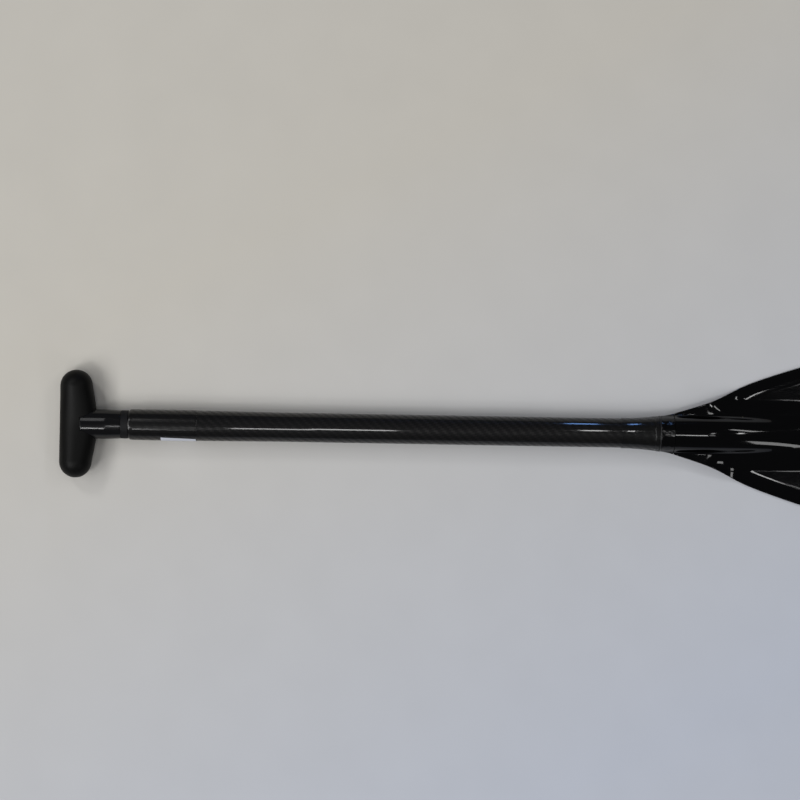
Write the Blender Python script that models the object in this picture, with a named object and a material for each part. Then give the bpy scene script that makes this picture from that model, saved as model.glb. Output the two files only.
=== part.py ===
"""Sea walking paddle: T grip, straight carbon shaft and one wide blade with a spine on its back.

The paddle lies flat as on a table. Its length runs along X from the grip to the blade's tip, Y runs across
and Z points up. Every mesh is built in the shaft's own frame: X is the station, the distance from the outer
face of the grip's bar, and the shaft's axis is Y = Z = 0. One empty carries all of them to their place.
Lengths are in metres and angles in degrees.
"""
import math

import bmesh
import bpy
import numpy as np

# Clearance between neighbouring solids, about a bond line
CLEARANCE = 0.0003

# Grip: a bar across the shaft under a soft skin, round at its ends, deeper and flatter in its middle
BAR_LENGTH = 0.1065
BAR_DIAMETER = 0.0320
BAR_MIDDLE_DEPTH = 0.0375
BAR_MIDDLE_HEIGHT = 0.0268
BAR_SKIN = 0.0025
BAR_SWELL_POWER = 1.3

# Stem of the grip, tapered beyond the bar, its spigot in the shaft and the ring at its shoulder
STEM_ROOT = 0.0212
STEM_ROOT_DIAMETER = 0.0295
STEM_LENGTH = 0.0232
STEM_END_DIAMETER = 0.0281
STEM_TAPER_LENGTH = 0.0150
SPIGOT_LENGTH = 0.0450
SPIGOT_BORE = 0.0180
SPIGOT_BORE_DEPTH = 0.0700
RING_LENGTH = 0.0070
RING_DIAMETER = 0.0279
RING_CHAMFER = 0.0004

# Shaft tube, thickened at its grip end and cut on a slant inside the blade
SHAFT_DIAMETER = 0.0290
SHAFT_WALL = 0.0015
SHAFT_LENGTH_TO_BLADE = 0.5380
SHAFT_MOUTH_CHAMFER = 0.0005
THICK_END_RISE = 0.0005
THICK_END_LENGTH = 0.0175
THICK_END_TAPER = 0.0590
SLANT_CUT_LEAD = 0.0040
SLANT_CUT_OVERRUN = 0.0080

# Sleeve round the grip end of the shaft
SLEEVE_SETBACK = 0.0015
SLEEVE_LENGTH = 0.0655
SLEEVE_WALL = 0.0005
SLEEVE_CHAMFER = 0.0032

# Foam plugs in the shaft
BUNG_LENGTH = 0.0400
LOWER_BUNG_SETBACK = 0.0040

# Joint of the shaft and the blade, from the shaft to the blade's neck
FLARE_LENGTH = 0.0375
FLARE_EDGE = 0.0002
FLARE_POWER = 2.0
LIP_LENGTH = 0.0045
LIP_RISE = 0.0003
BEAD_LENGTH = 0.0010
COLLAR_LENGTH = 0.0127
COLLAR_GROOVE = 0.0004

# Blade
BLADE_LENGTH = 0.4750
BLADE_WIDTH = 0.1900
WIDEST_STATION = 0.3000
TIP_SQUARENESS = 2.5
BLADE_SKIN = 0.0012
CORE_THICKNESS = 0.0040
EDGE_TAPER = 0.0160
NECK_SIDE_RISE = 0.0017
NECK_FADE_LENGTH = 0.0400
DROP_START = 0.0300
DROP_LENGTH = 0.0400
SPINE_HALF_WIDTH = 0.0170
SPINE_FLANK_ANGLE = 66.0
SPINE_FLANK_POWER = 1.6
SPINE_FILLET = 0.0035
SPINE_FADE_LENGTH = 0.1500
SPINE_NARROWING = 0.25
SKIRT_START = 0.0165
SKIRT_WIDTH = 0.0190
CORE_START = 0.0600
CORE_SETBACK = 0.0100
CORE_END_WIDTH = 0.0300

# Outline of the throat: share of the way to the widest station, and share of the growth in width
THROAT_OUTLINE = (
    (0.000, 0.000),
    (0.064, 0.062),
    (0.128, 0.144),
    (0.192, 0.248),
    (0.256, 0.378),
    (0.319, 0.482),
    (0.383, 0.571),
    (0.607, 0.831),
    (1.000, 1.000),
)
THROAT_START_SLOPE = 0.20

# Fineness of the faceted solids
ROUND_SIDES = 48
BAR_SIDES = 28
BAR_CAP_RINGS = 6
BAR_BODY_RINGS = 9
CONTOUR_POINTS = 25
BLADE_COLUMNS = 29
THROAT_ROWS = 24
TIP_ROWS = 9
FINE_THROAT_ROWS = 220
FINE_TIP_ROWS = 90
FLARE_ROWS = 9
NECK_ROW_STEP = 0.0030
LAST_ROW_ANGLE = 87.0
ROW_CROWDING = 1.5
COLUMN_CROWDING = 1.5
SHARP_ANGLE = 35.0
CUTTER_OVERRUN = 0.0200
LEAST_SHARE = 0.000001
MERGE_DISTANCE = 0.000001

# Places along the paddle and radii that follow from the sizes above
STEM_END = BAR_MIDDLE_DEPTH + STEM_LENGTH
SHAFT_MOUTH = STEM_END + RING_LENGTH + 2 * CLEARANCE
SPIGOT_END = SHAFT_MOUTH + SPIGOT_LENGTH
BLADE_START = SHAFT_MOUTH + SHAFT_LENGTH_TO_BLADE
COLLAR_START = BLADE_START - COLLAR_GROOVE - COLLAR_LENGTH
BEAD_START = COLLAR_START - CLEARANCE - BEAD_LENGTH
FLARE_START = BEAD_START - CLEARANCE - FLARE_LENGTH
BLADE_TIP = BLADE_START + BLADE_LENGTH
DROP_STATION = BLADE_START + DROP_START
SLANT_START = DROP_STATION - SLANT_CUT_LEAD
SLANT_END = DROP_STATION + DROP_LENGTH + SLANT_CUT_OVERRUN
SHAFT_RADIUS = SHAFT_DIAMETER / 2
BORE_RADIUS = SHAFT_RADIUS - SHAFT_WALL
SLEEVE_BORE = SHAFT_RADIUS + CLEARANCE
SPINE_RADIUS = SHAFT_RADIUS + CLEARANCE + BLADE_SKIN
NECK_HALF_WIDTH = SPINE_RADIUS + NECK_SIDE_RISE
FLANGE_THICKNESS = 2 * BLADE_SKIN + CLEARANCE
PANEL_THICKNESS = 2 * BLADE_SKIN + 2 * CLEARANCE + CORE_THICKNESS
FACE_HEIGHT = -SPINE_RADIUS
SEAM_DROP = SPINE_RADIUS - FLANGE_THICKNESS / 2
AXIS_HEIGHT = max(BAR_DIAMETER / 2, SPINE_RADIUS)


# Materials

def finish(name, colour, roughness, metallic=0.0, coat=0.0):
    """A Principled material with the colour, roughness and gloss coat of one surface."""
    material = bpy.data.materials.new(name)
    material.use_nodes = True
    shader = material.node_tree.nodes["Principled BSDF"]
    shader.inputs["Base Color"].default_value = (*colour, 1.0)
    shader.inputs["Roughness"].default_value = roughness
    shader.inputs["Metallic"].default_value = metallic
    shader.inputs["Coat Weight"].default_value = coat
    material.diffuse_color = (*colour, 1.0)
    return material


# Mesh helpers

def new_part(name, mesh_builder, material, paddle):
    """Make one named object from a bmesh, smooth on its round faces, carried by the paddle's empty."""
    mesh = bpy.data.meshes.new(name)
    bmesh.ops.recalc_face_normals(mesh_builder, faces=mesh_builder.faces)
    mesh_builder.to_mesh(mesh)
    mesh_builder.free()
    mesh.materials.append(material)
    mesh.shade_smooth()
    mesh.set_sharp_from_angle(angle=math.radians(SHARP_ANGLE))
    part = bpy.data.objects.new(name, mesh)
    bpy.context.scene.collection.objects.link(part)
    part.parent = paddle
    return part


def add_ring(builder, points):
    """Add the points of one section and return its vertices."""
    return [builder.verts.new(point) for point in points]


def bridge(builder, ring, next_ring, closed=True, split=False):
    """Join two sections of equal count with a band of faces, each split in two alike if asked."""
    count = len(ring)
    last = count if closed else count - 1
    for i in range(last):
        j = (i + 1) % count
        if split:
            builder.faces.new((ring[i], ring[j], next_ring[j]))
            builder.faces.new((ring[i], next_ring[j], next_ring[i]))
        else:
            builder.faces.new((ring[i], ring[j], next_ring[j], next_ring[i]))


def stack(builder, sections):
    """A solid through closed sections in a row, with its first and last section filled."""
    rings = [add_ring(builder, section) for section in sections]
    for ring, next_ring in zip(rings, rings[1:]):
        bridge(builder, ring, next_ring)
    builder.faces.new(list(reversed(rings[0])))
    builder.faces.new(rings[-1])


def wrap(builder, sections):
    """A hollow solid: sections out along the outside and back along the bore, the last joined to the first."""
    rings = [add_ring(builder, section) for section in sections]
    for ring, next_ring in zip(rings, rings[1:] + rings[:1]):
        bridge(builder, ring, next_ring)


def slab(builder, top, bottom):
    """A plate between two surfaces given as grids of rows and columns, closed all round its edge.

    Faces are split alike, so that two plates on one grid stay parallel.
    """
    top_rows = [add_ring(builder, row) for row in top]
    bottom_rows = [add_ring(builder, row) for row in bottom]
    for surface in (top_rows, bottom_rows):
        for row, next_row in zip(surface, surface[1:]):
            bridge(builder, row, next_row, closed=False, split=True)
    bridge(builder, top_rows[0], bottom_rows[0], closed=False)
    bridge(builder, top_rows[-1], bottom_rows[-1], closed=False)
    for side in (0, -1):
        upper_edge = [row[side] for row in top_rows]
        lower_edge = [row[side] for row in bottom_rows]
        bridge(builder, upper_edge, lower_edge, closed=False)


def turn(profile, sides=ROUND_SIDES):
    """Spin a profile of (station, radius) once round the axis; a profile that starts on the axis is open."""
    builder = bmesh.new()
    corners = [builder.verts.new((station, 0.0, radius)) for station, radius in profile]
    pairs = list(zip(corners, corners[1:]))
    if profile[0][1] > 0.0:
        pairs.append((corners[-1], corners[0]))
    edges = [builder.edges.new(pair) for pair in pairs]
    bmesh.ops.spin(
        builder,
        geom=corners + edges,
        axis=(1.0, 0.0, 0.0),
        cent=(0.0, 0.0, 0.0),
        angle=math.tau,
        steps=sides,
    )
    bmesh.ops.remove_doubles(builder, verts=builder.verts, dist=MERGE_DISTANCE)
    return builder


def cut(part, cutter, operation="DIFFERENCE"):
    """Cut a part by a hidden cutter, or join the two, exactly."""
    cutter.hide_render = True
    cutter.display_type = "WIRE"
    modifier = part.modifiers.new(cutter.name, "BOOLEAN")
    modifier.operation = operation
    modifier.solver = "EXACT"
    modifier.object = cutter


def prism(outline, half_width):
    """A straight-sided block: an outline of (station, height) carried across the paddle."""
    builder = bmesh.new()
    sections = [[(x, side * half_width, z) for x, z in outline] for side in (-1.0, 1.0)]
    stack(builder, sections)
    return builder


# Curves of the blade

def clamped_spline(knots, start_slope, end_slope):
    """A smooth cubic through the knots, with a given slope at each end, as a function of an array."""
    xs = np.array([knot[0] for knot in knots])
    ys = np.array([knot[1] for knot in knots])
    steps = np.diff(xs)
    rises = np.diff(ys) / steps
    count = len(xs)
    matrix = np.eye(count)
    target = np.zeros(count)
    target[0] = start_slope
    target[-1] = end_slope
    for i in range(1, count - 1):
        matrix[i, i - 1] = 1 / steps[i - 1]
        matrix[i, i] = 2 / steps[i - 1] + 2 / steps[i]
        matrix[i, i + 1] = 1 / steps[i]
        target[i] = 3 * (rises[i - 1] / steps[i - 1] + rises[i] / steps[i])
    slopes = np.linalg.solve(matrix, target)

    def evaluate(x):
        x = np.clip(x, xs[0], xs[-1])
        i = np.clip(np.searchsorted(xs, x, side="right") - 1, 0, count - 2)
        h = steps[i]
        t = (x - xs[i]) / h
        start = (1 + 2 * t) * (1 - t) ** 2 * ys[i] + t * (1 - t) ** 2 * h * slopes[i]
        end = t * t * (3 - 2 * t) * ys[i + 1] + t * t * (t - 1) * h * slopes[i + 1]
        return start + end

    return evaluate


throat_growth = clamped_spline(THROAT_OUTLINE, THROAT_START_SLOPE, 0.0)


def smooth_step(value):
    """Ease from 0 to 1 as the value goes from 0 to 1."""
    value = np.clip(value, 0.0, 1.0)
    return value * value * (3 - 2 * value)


def smooth_max(first, second, fillet):
    """The higher of two heights, with a fillet where they cross."""
    share = np.clip(0.5 + 0.5 * (first - second) / fillet, 0.0, 1.0)
    return second + (first - second) * share + fillet * share * (1 - share)


def half_width(station):
    """Half width of the neck and blade: a spline through the throat, then a squarish ellipse to the tip."""
    station = np.asarray(station, dtype=float)
    widest = BLADE_START + WIDEST_STATION
    share = (station - COLLAR_START) / (widest - COLLAR_START)
    throat = NECK_HALF_WIDTH + (BLADE_WIDTH / 2 - NECK_HALF_WIDTH) * throat_growth(share)
    past = np.clip((station - widest) / (BLADE_TIP - widest), 0.0, 1.0)
    tip = BLADE_WIDTH / 2 * (1 - past ** TIP_SQUARENESS) ** (1 / TIP_SQUARENESS)
    return np.where(station <= widest, throat, tip)


def outline_rows(start, throat_rows=THROAT_ROWS, tip_rows=TIP_ROWS):
    """Stations and half widths of the blade's half outline, crowded at the throat and round the tip."""
    widest = BLADE_START + WIDEST_STATION
    shares = np.linspace(0.0, 1.0, throat_rows) ** ROW_CROWDING
    throat = start + (widest - start) * shares
    angles = np.radians(np.linspace(0.0, LAST_ROW_ANGLE, tip_rows + 1)[1:])
    reach = np.sin(angles) ** (2 / TIP_SQUARENESS)
    tip = widest + (BLADE_TIP - widest) * reach / reach[-1]
    tip_widths = BLADE_WIDTH / 2 * np.cos(angles) ** (2 / TIP_SQUARENESS)
    return np.concatenate((throat, tip)), np.concatenate((half_width(throat), tip_widths))


OUTLINE_STATIONS, OUTLINE_WIDTHS = outline_rows(COLLAR_START, FINE_THROAT_ROWS, FINE_TIP_ROWS)


def edge_distance(station, across):
    """Distance from points of the blade to its outline, in plan."""
    along = station[..., None] - OUTLINE_STATIONS
    aside = np.abs(across)[..., None] - OUTLINE_WIDTHS
    return np.sqrt(np.min(along ** 2 + aside ** 2, axis=-1))


def neck_share(station):
    """How round the section still is, from 1 at the neck to 0 where the wings have grown out."""
    return 1 - smooth_step((station - COLLAR_START) / NECK_FADE_LENGTH)


def drop_share(station):
    """How far the wings have come down, from 0 at the shaft's axis to 1 on the plane of the power face."""
    return smooth_step((station - DROP_STATION) / DROP_LENGTH)


def spine_share(station):
    """The spine's height along the blade, from 1 over the shaft to 0 where it has faded out."""
    return 1 - smooth_step((station - DROP_STATION) / SPINE_FADE_LENGTH)


def seam_gap(station):
    """Height of the back's rim over the middle of the seam: edge to edge at the neck, then skin on skin."""
    return (neck_share(station) * CLEARANCE + (1 - neck_share(station)) * FLANGE_THICKNESS) / 2


def spine_ridge(station, across):
    """Height of the spine over the wings: an elliptical crown, straight flanks and a fillet at their foot.

    The crown narrows and the flanks ease off as the spine gets lower.
    """
    share = np.maximum(spine_share(station), LEAST_SHARE)
    height = share * (SPINE_RADIUS - seam_gap(station))
    half = SPINE_HALF_WIDTH * (1 - SPINE_NARROWING * (1 - share))
    slope = math.tan(math.radians(SPINE_FLANK_ANGLE)) * share ** SPINE_FLANK_POWER
    steepness = slope * half / height
    reach = half * steepness / np.sqrt(1 + steepness ** 2)
    aside = np.abs(across)
    crown = height * np.sqrt(1 - (np.minimum(aside, reach) / half) ** 2)
    flank = crown - slope * np.maximum(aside - reach, 0.0)
    return smooth_max(flank, 0.0, SPINE_FILLET * share)


def column_angle(shares):
    """Places across a section, from -1 to 1, crowded over the spine, as an angle up to a right angle."""
    return np.sign(shares) * np.abs(shares) ** COLUMN_CROWDING * math.pi / 2


def back_height(station, across, angle):
    """Height of the blade's back surface over the shaft's axis.

    The wings come down sooner than the spine, and a skirt beside the spine makes up the difference.
    """
    drop = drop_share(station)
    taper = 1 - np.clip(edge_distance(station, across) / EDGE_TAPER, 0.0, 1.0)
    rise = (PANEL_THICKNESS - FLANGE_THICKNESS) * (1 - taper ** 2)
    lag = (drop + spine_share(station) - 1) * (SEAM_DROP + FLANGE_THICKNESS - PANEL_THICKNESS)
    skirt = lag * (1 - smooth_step((np.abs(across) - SKIRT_START) / SKIRT_WIDTH))
    wing = seam_gap(station) + drop * (rise - SEAM_DROP) + skirt
    edge_ridge = spine_ridge(station, half_width(station))
    rounding = np.clip(2 * np.abs(angle) / (math.pi / 2) - 1, 0.0, 1.0)
    return wing + spine_ridge(station, across) - edge_ridge * (1 - np.sqrt(1 - rounding ** 2))


def face_height(station, angle):
    """Height of the power face over the shaft's axis: half round at the neck, then a keel, then flat."""
    neck = neck_share(station)
    rim = -seam_gap(station) - drop_share(station) * SEAM_DROP
    return FACE_HEIGHT + (rim - FACE_HEIGHT) * (neck * (1 - np.cos(angle)) + (1 - neck) * np.sin(angle) ** 2)


def inner_drop(station, angle):
    """Vertical and sideways distance from a skin's outer surface to its inner one."""
    neck = neck_share(station)
    drop = BLADE_SKIN * (neck * np.cos(angle) + 1 - neck)
    inset = BLADE_SKIN * neck * np.sin(angle)
    return drop, inset


def blade_grid():
    """Stations, places across and section angles of the grid that both skins and the core share."""
    stations, widths = outline_rows(BLADE_START)
    angle = column_angle(np.linspace(-1.0, 1.0, BLADE_COLUMNS))
    station = np.repeat(stations[:, None], BLADE_COLUMNS, axis=1)
    angle = np.repeat(angle[None, :], len(stations), axis=0)
    return station, widths[:, None] * np.sin(angle), angle


def neck_contour(station):
    """The closed section of the neck at one station, as (across, height) from one side over the top."""
    angle = np.linspace(math.pi / 2, -math.pi / 2, CONTOUR_POINTS)
    stations = np.full(CONTOUR_POINTS, station)
    across = half_width(stations) * np.sin(angle)
    upper = np.stack((across, back_height(stations, across, angle)), axis=1)
    lower = np.stack((across, face_height(stations, angle)), axis=1)[::-1]
    return np.concatenate((upper, lower))


def neck_circle(contour, radius):
    """A circle with its points at the same directions as those of a neck contour."""
    direction = contour / np.linalg.norm(contour, axis=1, keepdims=True)
    return direction * radius


def section(station, contour):
    """Put a contour of (across, height) at a station."""
    return [(station, y, z) for y, z in contour]


# The parts of the grip

def bar_sections(inset):
    """Sections of the grip's bar across its length, drawn in all round by an inset."""
    radius = BAR_DIAMETER / 2
    half_length = BAR_LENGTH / 2
    body_end = half_length - radius
    cap_angles = np.radians(np.linspace(0.0, LAST_ROW_ANGLE, BAR_CAP_RINGS + 1)[1:])
    body = np.linspace(-body_end, body_end, BAR_BODY_RINGS)
    cap = body_end + (radius - inset) * np.sin(cap_angles)
    places = np.concatenate((-cap[::-1], body, cap))
    shrink = np.concatenate((np.cos(cap_angles)[::-1], np.ones(BAR_BODY_RINGS), np.cos(cap_angles)))
    turn_angles = np.linspace(0.0, math.tau, BAR_SIDES, endpoint=False)
    sections = []
    for place, size in zip(places, shrink):
        swell = 1 - min(abs(place) / body_end, 1.0) ** BAR_SWELL_POWER
        middle = (BAR_DIAMETER + (BAR_MIDDLE_DEPTH - BAR_DIAMETER) * swell) / 2
        crown = (BAR_DIAMETER + (BAR_MIDDLE_HEIGHT - BAR_DIAMETER) * swell) / 2
        depth = (middle - inset) * size
        height = (crown - inset) * size
        ring = [(middle + depth * math.cos(a), place, height * math.sin(a)) for a in turn_angles]
        sections.append(ring)
    return sections


def make_grip_core(paddle, material):
    """The rigid T: crossbar core joined to the stem, whose stepped spigot has a blind bore."""
    bar = bmesh.new()
    stack(bar, bar_sections(BAR_SKIN + CLEARANCE))
    core = new_part("grip_core", bar, material, paddle)
    root_radius = STEM_ROOT_DIAMETER / 2
    end_radius = STEM_END_DIAMETER / 2
    spigot_radius = BORE_RADIUS - CLEARANCE
    bore_radius = SPIGOT_BORE / 2
    bore_start = SPIGOT_END - SPIGOT_BORE_DEPTH
    stem = turn((
        (STEM_ROOT, 0.0),
        (STEM_ROOT, root_radius),
        (STEM_END - STEM_TAPER_LENGTH, root_radius),
        (STEM_END, end_radius),
        (STEM_END, spigot_radius),
        (SPIGOT_END, spigot_radius),
        (SPIGOT_END, bore_radius),
        (bore_start, bore_radius),
        (bore_start, 0.0),
    ))
    cut(core, new_part("stem_tool", stem, material, paddle), "UNION")
    return core


def make_grip_skin(paddle, material):
    """The soft skin moulded over the crossbar, open where the stem comes out."""
    shell = bmesh.new()
    stack(shell, bar_sections(0.0))
    skin = new_part("grip_skin", shell, material, paddle)
    hollow = bmesh.new()
    stack(hollow, bar_sections(BAR_SKIN))
    cut(skin, new_part("bar_hollow_tool", hollow, material, paddle))
    radius = STEM_ROOT_DIAMETER / 2 + CLEARANCE
    hole = turn((
        (STEM_ROOT - CLEARANCE, 0.0),
        (STEM_ROOT - CLEARANCE, radius),
        (STEM_END, radius),
        (STEM_END, 0.0),
    ))
    cut(skin, new_part("stem_hole_tool", hole, material, paddle))
    return skin


def make_stem_ring(paddle, material):
    """The ring at the stem's shoulder, round the spigot."""
    start = STEM_END + CLEARANCE
    end = start + RING_LENGTH
    outer = RING_DIAMETER / 2
    ring = turn((
        (start, BORE_RADIUS),
        (start, outer - RING_CHAMFER),
        (start + RING_CHAMFER, outer),
        (end - RING_CHAMFER, outer),
        (end, outer - RING_CHAMFER),
        (end, BORE_RADIUS),
    ))
    return new_part("stem_ring", ring, material, paddle)


# The parts of the shaft

def make_shaft_tube(paddle, material):
    """The carbon tube, with a seat for the sleeve, a thick end that tapers, and a slanted far end."""
    seat_end = SHAFT_MOUTH + SLEEVE_SETBACK + SLEEVE_LENGTH + CLEARANCE
    thick_end = seat_end + THICK_END_LENGTH
    thick_radius = SHAFT_RADIUS + THICK_END_RISE
    tube = turn((
        (SHAFT_MOUTH, BORE_RADIUS),
        (SHAFT_MOUTH, SHAFT_RADIUS - SHAFT_MOUTH_CHAMFER),
        (SHAFT_MOUTH + SLEEVE_SETBACK, SHAFT_RADIUS),
        (seat_end, SHAFT_RADIUS),
        (seat_end, thick_radius),
        (thick_end, thick_radius),
        (thick_end + THICK_END_TAPER, SHAFT_RADIUS),
        (SLANT_END, SHAFT_RADIUS),
        (SLANT_END, BORE_RADIUS),
    ))
    part = new_part("shaft_tube", tube, material, paddle)
    slope = SHAFT_DIAMETER / (SLANT_END - SLANT_START)
    over = CUTTER_OVERRUN
    outline = (
        (SLANT_START - over, SHAFT_RADIUS + slope * over),
        (SLANT_END + over, SHAFT_RADIUS + slope * over),
        (SLANT_END + over, -SHAFT_RADIUS - slope * over),
    )
    cut(part, new_part("slant_tool", prism(outline, SHAFT_DIAMETER), material, paddle))
    return part


def make_socket_sleeve(paddle, material):
    """The thin sleeve in its seat at the grip end of the shaft, chamfered at its mouth."""
    start = SHAFT_MOUTH + SLEEVE_SETBACK
    end = start + SLEEVE_LENGTH
    lip = SLEEVE_BORE + SLEEVE_WALL / 2
    outer = SLEEVE_BORE + SLEEVE_WALL
    sleeve = turn((
        (start, SLEEVE_BORE),
        (start, lip),
        (start + SLEEVE_CHAMFER, outer),
        (end - SLEEVE_WALL, outer),
        (end, lip),
        (end, SLEEVE_BORE),
    ))
    return new_part("socket_sleeve", sleeve, material, paddle)


def make_bung(name, start, paddle, material):
    """A foam plug inside the shaft's bore."""
    radius = BORE_RADIUS - CLEARANCE
    end = start + BUNG_LENGTH
    bung = turn(((start, 0.0), (start, radius), (end, radius), (end, 0.0)))
    return new_part(name, bung, material, paddle)


# The joint of the shaft and the blade

def flared_section(station, rise):
    """A section of the wrap: a circle on the shaft that grows into the neck's contour."""
    contour = neck_contour(COLLAR_START)
    share = (station - FLARE_START) / FLARE_LENGTH
    circle = neck_circle(contour, SLEEVE_BORE + FLARE_EDGE)
    blended = circle + (contour - circle) * min(share, 1.0) ** FLARE_POWER
    length = np.linalg.norm(blended, axis=1, keepdims=True)
    return section(station, blended * (1 + rise / length))


def make_joint_flare(paddle, material):
    """The wrap that flares from the shaft to the neck, with a low lip at its end."""
    end = FLARE_START + FLARE_LENGTH
    lip_start = end - LIP_LENGTH
    stations = np.linspace(FLARE_START, lip_start, FLARE_ROWS)
    outside = [flared_section(station, 0.0) for station in stations]
    lip_steps = ((lip_start + LIP_RISE, LIP_RISE), (end - LIP_RISE, LIP_RISE), (end, 0.0))
    # The lip stays clear of the surface that the paddle lies on
    outside += [flared_section(station, rise - LIP_RISE) for station, rise in lip_steps]
    bore = neck_circle(neck_contour(COLLAR_START), SLEEVE_BORE)
    builder = bmesh.new()
    wrap(builder, outside + [section(end, bore), section(FLARE_START, bore)])
    return new_part("joint_flare", builder, material, paddle)


def make_neck_ring(name, start, length, paddle, material):
    """A slice of the neck with a round bore for the shaft."""
    end = start + length
    rows = max(2, round(length / NECK_ROW_STEP) + 1)
    stations = np.linspace(start, end, rows)
    outside = [section(station, neck_contour(station)) for station in stations]
    bore_start = neck_circle(neck_contour(start), SLEEVE_BORE)
    bore_end = neck_circle(neck_contour(end), SLEEVE_BORE)
    builder = bmesh.new()
    wrap(builder, outside + [section(end, bore_end), section(start, bore_start)])
    return new_part(name, builder, material, paddle)


# The blade

def grid_points(station, across, height):
    """Rows of points from three grids."""
    return np.stack((station, across, height), axis=-1).tolist()


def make_blade_back(paddle, material):
    """The back skin: round over the neck, with wings that drop to the face's plane and a spine that fades."""
    station, across, angle = blade_grid()
    outer = back_height(station, across, angle)
    drop, inset = inner_drop(station, angle)
    builder = bmesh.new()
    slab(
        builder,
        grid_points(station, across, outer),
        grid_points(station, across - inset, outer - drop),
    )
    return new_part("blade_back_shell", builder, material, paddle)


def make_blade_face(paddle, material):
    """The power face skin: half round under the neck, then a keel that flattens out, then flat to the tip."""
    station, across, angle = blade_grid()
    outer = face_height(station, angle)
    drop, inset = inner_drop(station, angle)
    builder = bmesh.new()
    slab(
        builder,
        grid_points(station, across - inset, outer + drop),
        grid_points(station, across, outer),
    )
    return new_part("blade_face_shell", builder, material, paddle)


def core_outline():
    """The core's outline in plan, set back from the blade's own outline."""
    stations, widths = outline_rows(BLADE_START + CORE_START)
    along = np.gradient(stations)
    aside = np.gradient(widths)
    length = np.hypot(along, aside)
    stations = stations + CORE_SETBACK * aside / length
    widths = widths - CORE_SETBACK * along / length
    kept = widths > CORE_END_WIDTH / 2
    one_side = list(zip(stations[kept], widths[kept]))
    return one_side + [(station, -width) for station, width in reversed(one_side)]


def make_blade_core(paddle, material):
    """The foam: a block of the core's outline, cut to the skins and slotted for the end of the shaft."""
    above = 2 * SPINE_RADIUS
    block = bmesh.new()
    stack(block, [[(x, y, z) for x, y in core_outline()] for z in (-above, above)])
    core = new_part("blade_core", block, material, paddle)

    station, across, angle = blade_grid()
    drop, inset = inner_drop(station, angle)
    across = across - inset
    under_back = back_height(station, across, angle) - drop
    steepness = np.abs(np.gradient(under_back, axis=1) / np.gradient(across, axis=1))
    roof = under_back - CLEARANCE * (1 + steepness)
    floor = face_height(station, angle) + drop + CLEARANCE
    over = CUTTER_OVERRUN
    high = np.full_like(roof, above + over)
    back_tool = bmesh.new()
    slab(back_tool, grid_points(station, across, high), grid_points(station, across, roof))
    cut(core, new_part("back_tool", back_tool, material, paddle))
    face_tool = bmesh.new()
    slab(face_tool, grid_points(station, across, floor), grid_points(station, across, -high))
    cut(core, new_part("face_tool", face_tool, material, paddle))

    slope = SHAFT_DIAMETER / (SLANT_END - SLANT_START)
    slack = CLEARANCE / math.sin(math.atan(slope))
    outline = (
        (BLADE_START, SHAFT_RADIUS + slope * over),
        (SLANT_START - over + slack, SHAFT_RADIUS + slope * over),
        (SLANT_END + over + slack, -SHAFT_RADIUS - slope * over),
        (BLADE_START, -SHAFT_RADIUS - slope * over),
    )
    cut(core, new_part("shaft_slot_tool", prism(outline, SLEEVE_BORE), material, paddle))
    return core


def build():
    """Clear the scene and make every part of the paddle."""
    for item in list(bpy.data.objects):
        bpy.data.objects.remove(item, do_unlink=True)

    paddle = bpy.data.objects.new("paddle", None)
    paddle.location = (-BLADE_TIP / 2, 0.0, AXIS_HEIGHT)
    bpy.context.scene.collection.objects.link(paddle)

    gloss_moulding = finish("gloss black moulding", (0.010, 0.010, 0.010), 0.15, coat=0.5)
    soft_skin = finish("matte black skin", (0.012, 0.012, 0.012), 0.55)
    seal = finish("matte seal ring", (0.016, 0.016, 0.016), 0.70)
    satin_carbon = finish("satin carbon sleeve", (0.014, 0.014, 0.014), 0.32, coat=0.3)
    carbon = finish("lacquered carbon twill", (0.018, 0.017, 0.016), 0.25, coat=1.0)
    resin = finish("pale resin seam", (0.060, 0.060, 0.058), 0.40)
    foam = finish("closed-cell foam", (0.550, 0.520, 0.450), 0.90)
    blade_gloss = finish("gloss black blade lacquer", (0.006, 0.006, 0.006), 0.08, coat=1.0)

    make_grip_core(paddle, gloss_moulding)
    make_grip_skin(paddle, soft_skin)
    make_stem_ring(paddle, seal)
    make_socket_sleeve(paddle, satin_carbon)
    make_shaft_tube(paddle, carbon)
    make_bung("upper_bung", SPIGOT_END + CLEARANCE, paddle, foam)
    make_bung("lower_bung", SLANT_START - LOWER_BUNG_SETBACK - BUNG_LENGTH, paddle, foam)
    make_joint_flare(paddle, carbon)
    make_neck_ring("joint_bead", BEAD_START, BEAD_LENGTH, paddle, resin)
    make_neck_ring("neck_collar", COLLAR_START, COLLAR_LENGTH, paddle, blade_gloss)
    make_blade_back(paddle, blade_gloss)
    make_blade_face(paddle, blade_gloss)
    make_blade_core(paddle, foam)


build()
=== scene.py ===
"""Looks of a sea walking paddle: a soft T grip, a lacquered carbon shaft and a gloss blade with a spine.

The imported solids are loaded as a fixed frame, and each one that shows is covered by a finer surface worked
out with numpy in the same place. The foam pieces inside keep their solids and get a foam finish. Lengths are
in metres. A station is the distance along the paddle from the outer face of the grip's bar.
"""
import logging
import math
from dataclasses import dataclass, field
from enum import Enum
from typing import Sequence, Union

import bmesh
import bpy
import numpy as np
from mathutils import Matrix, Vector


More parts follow.
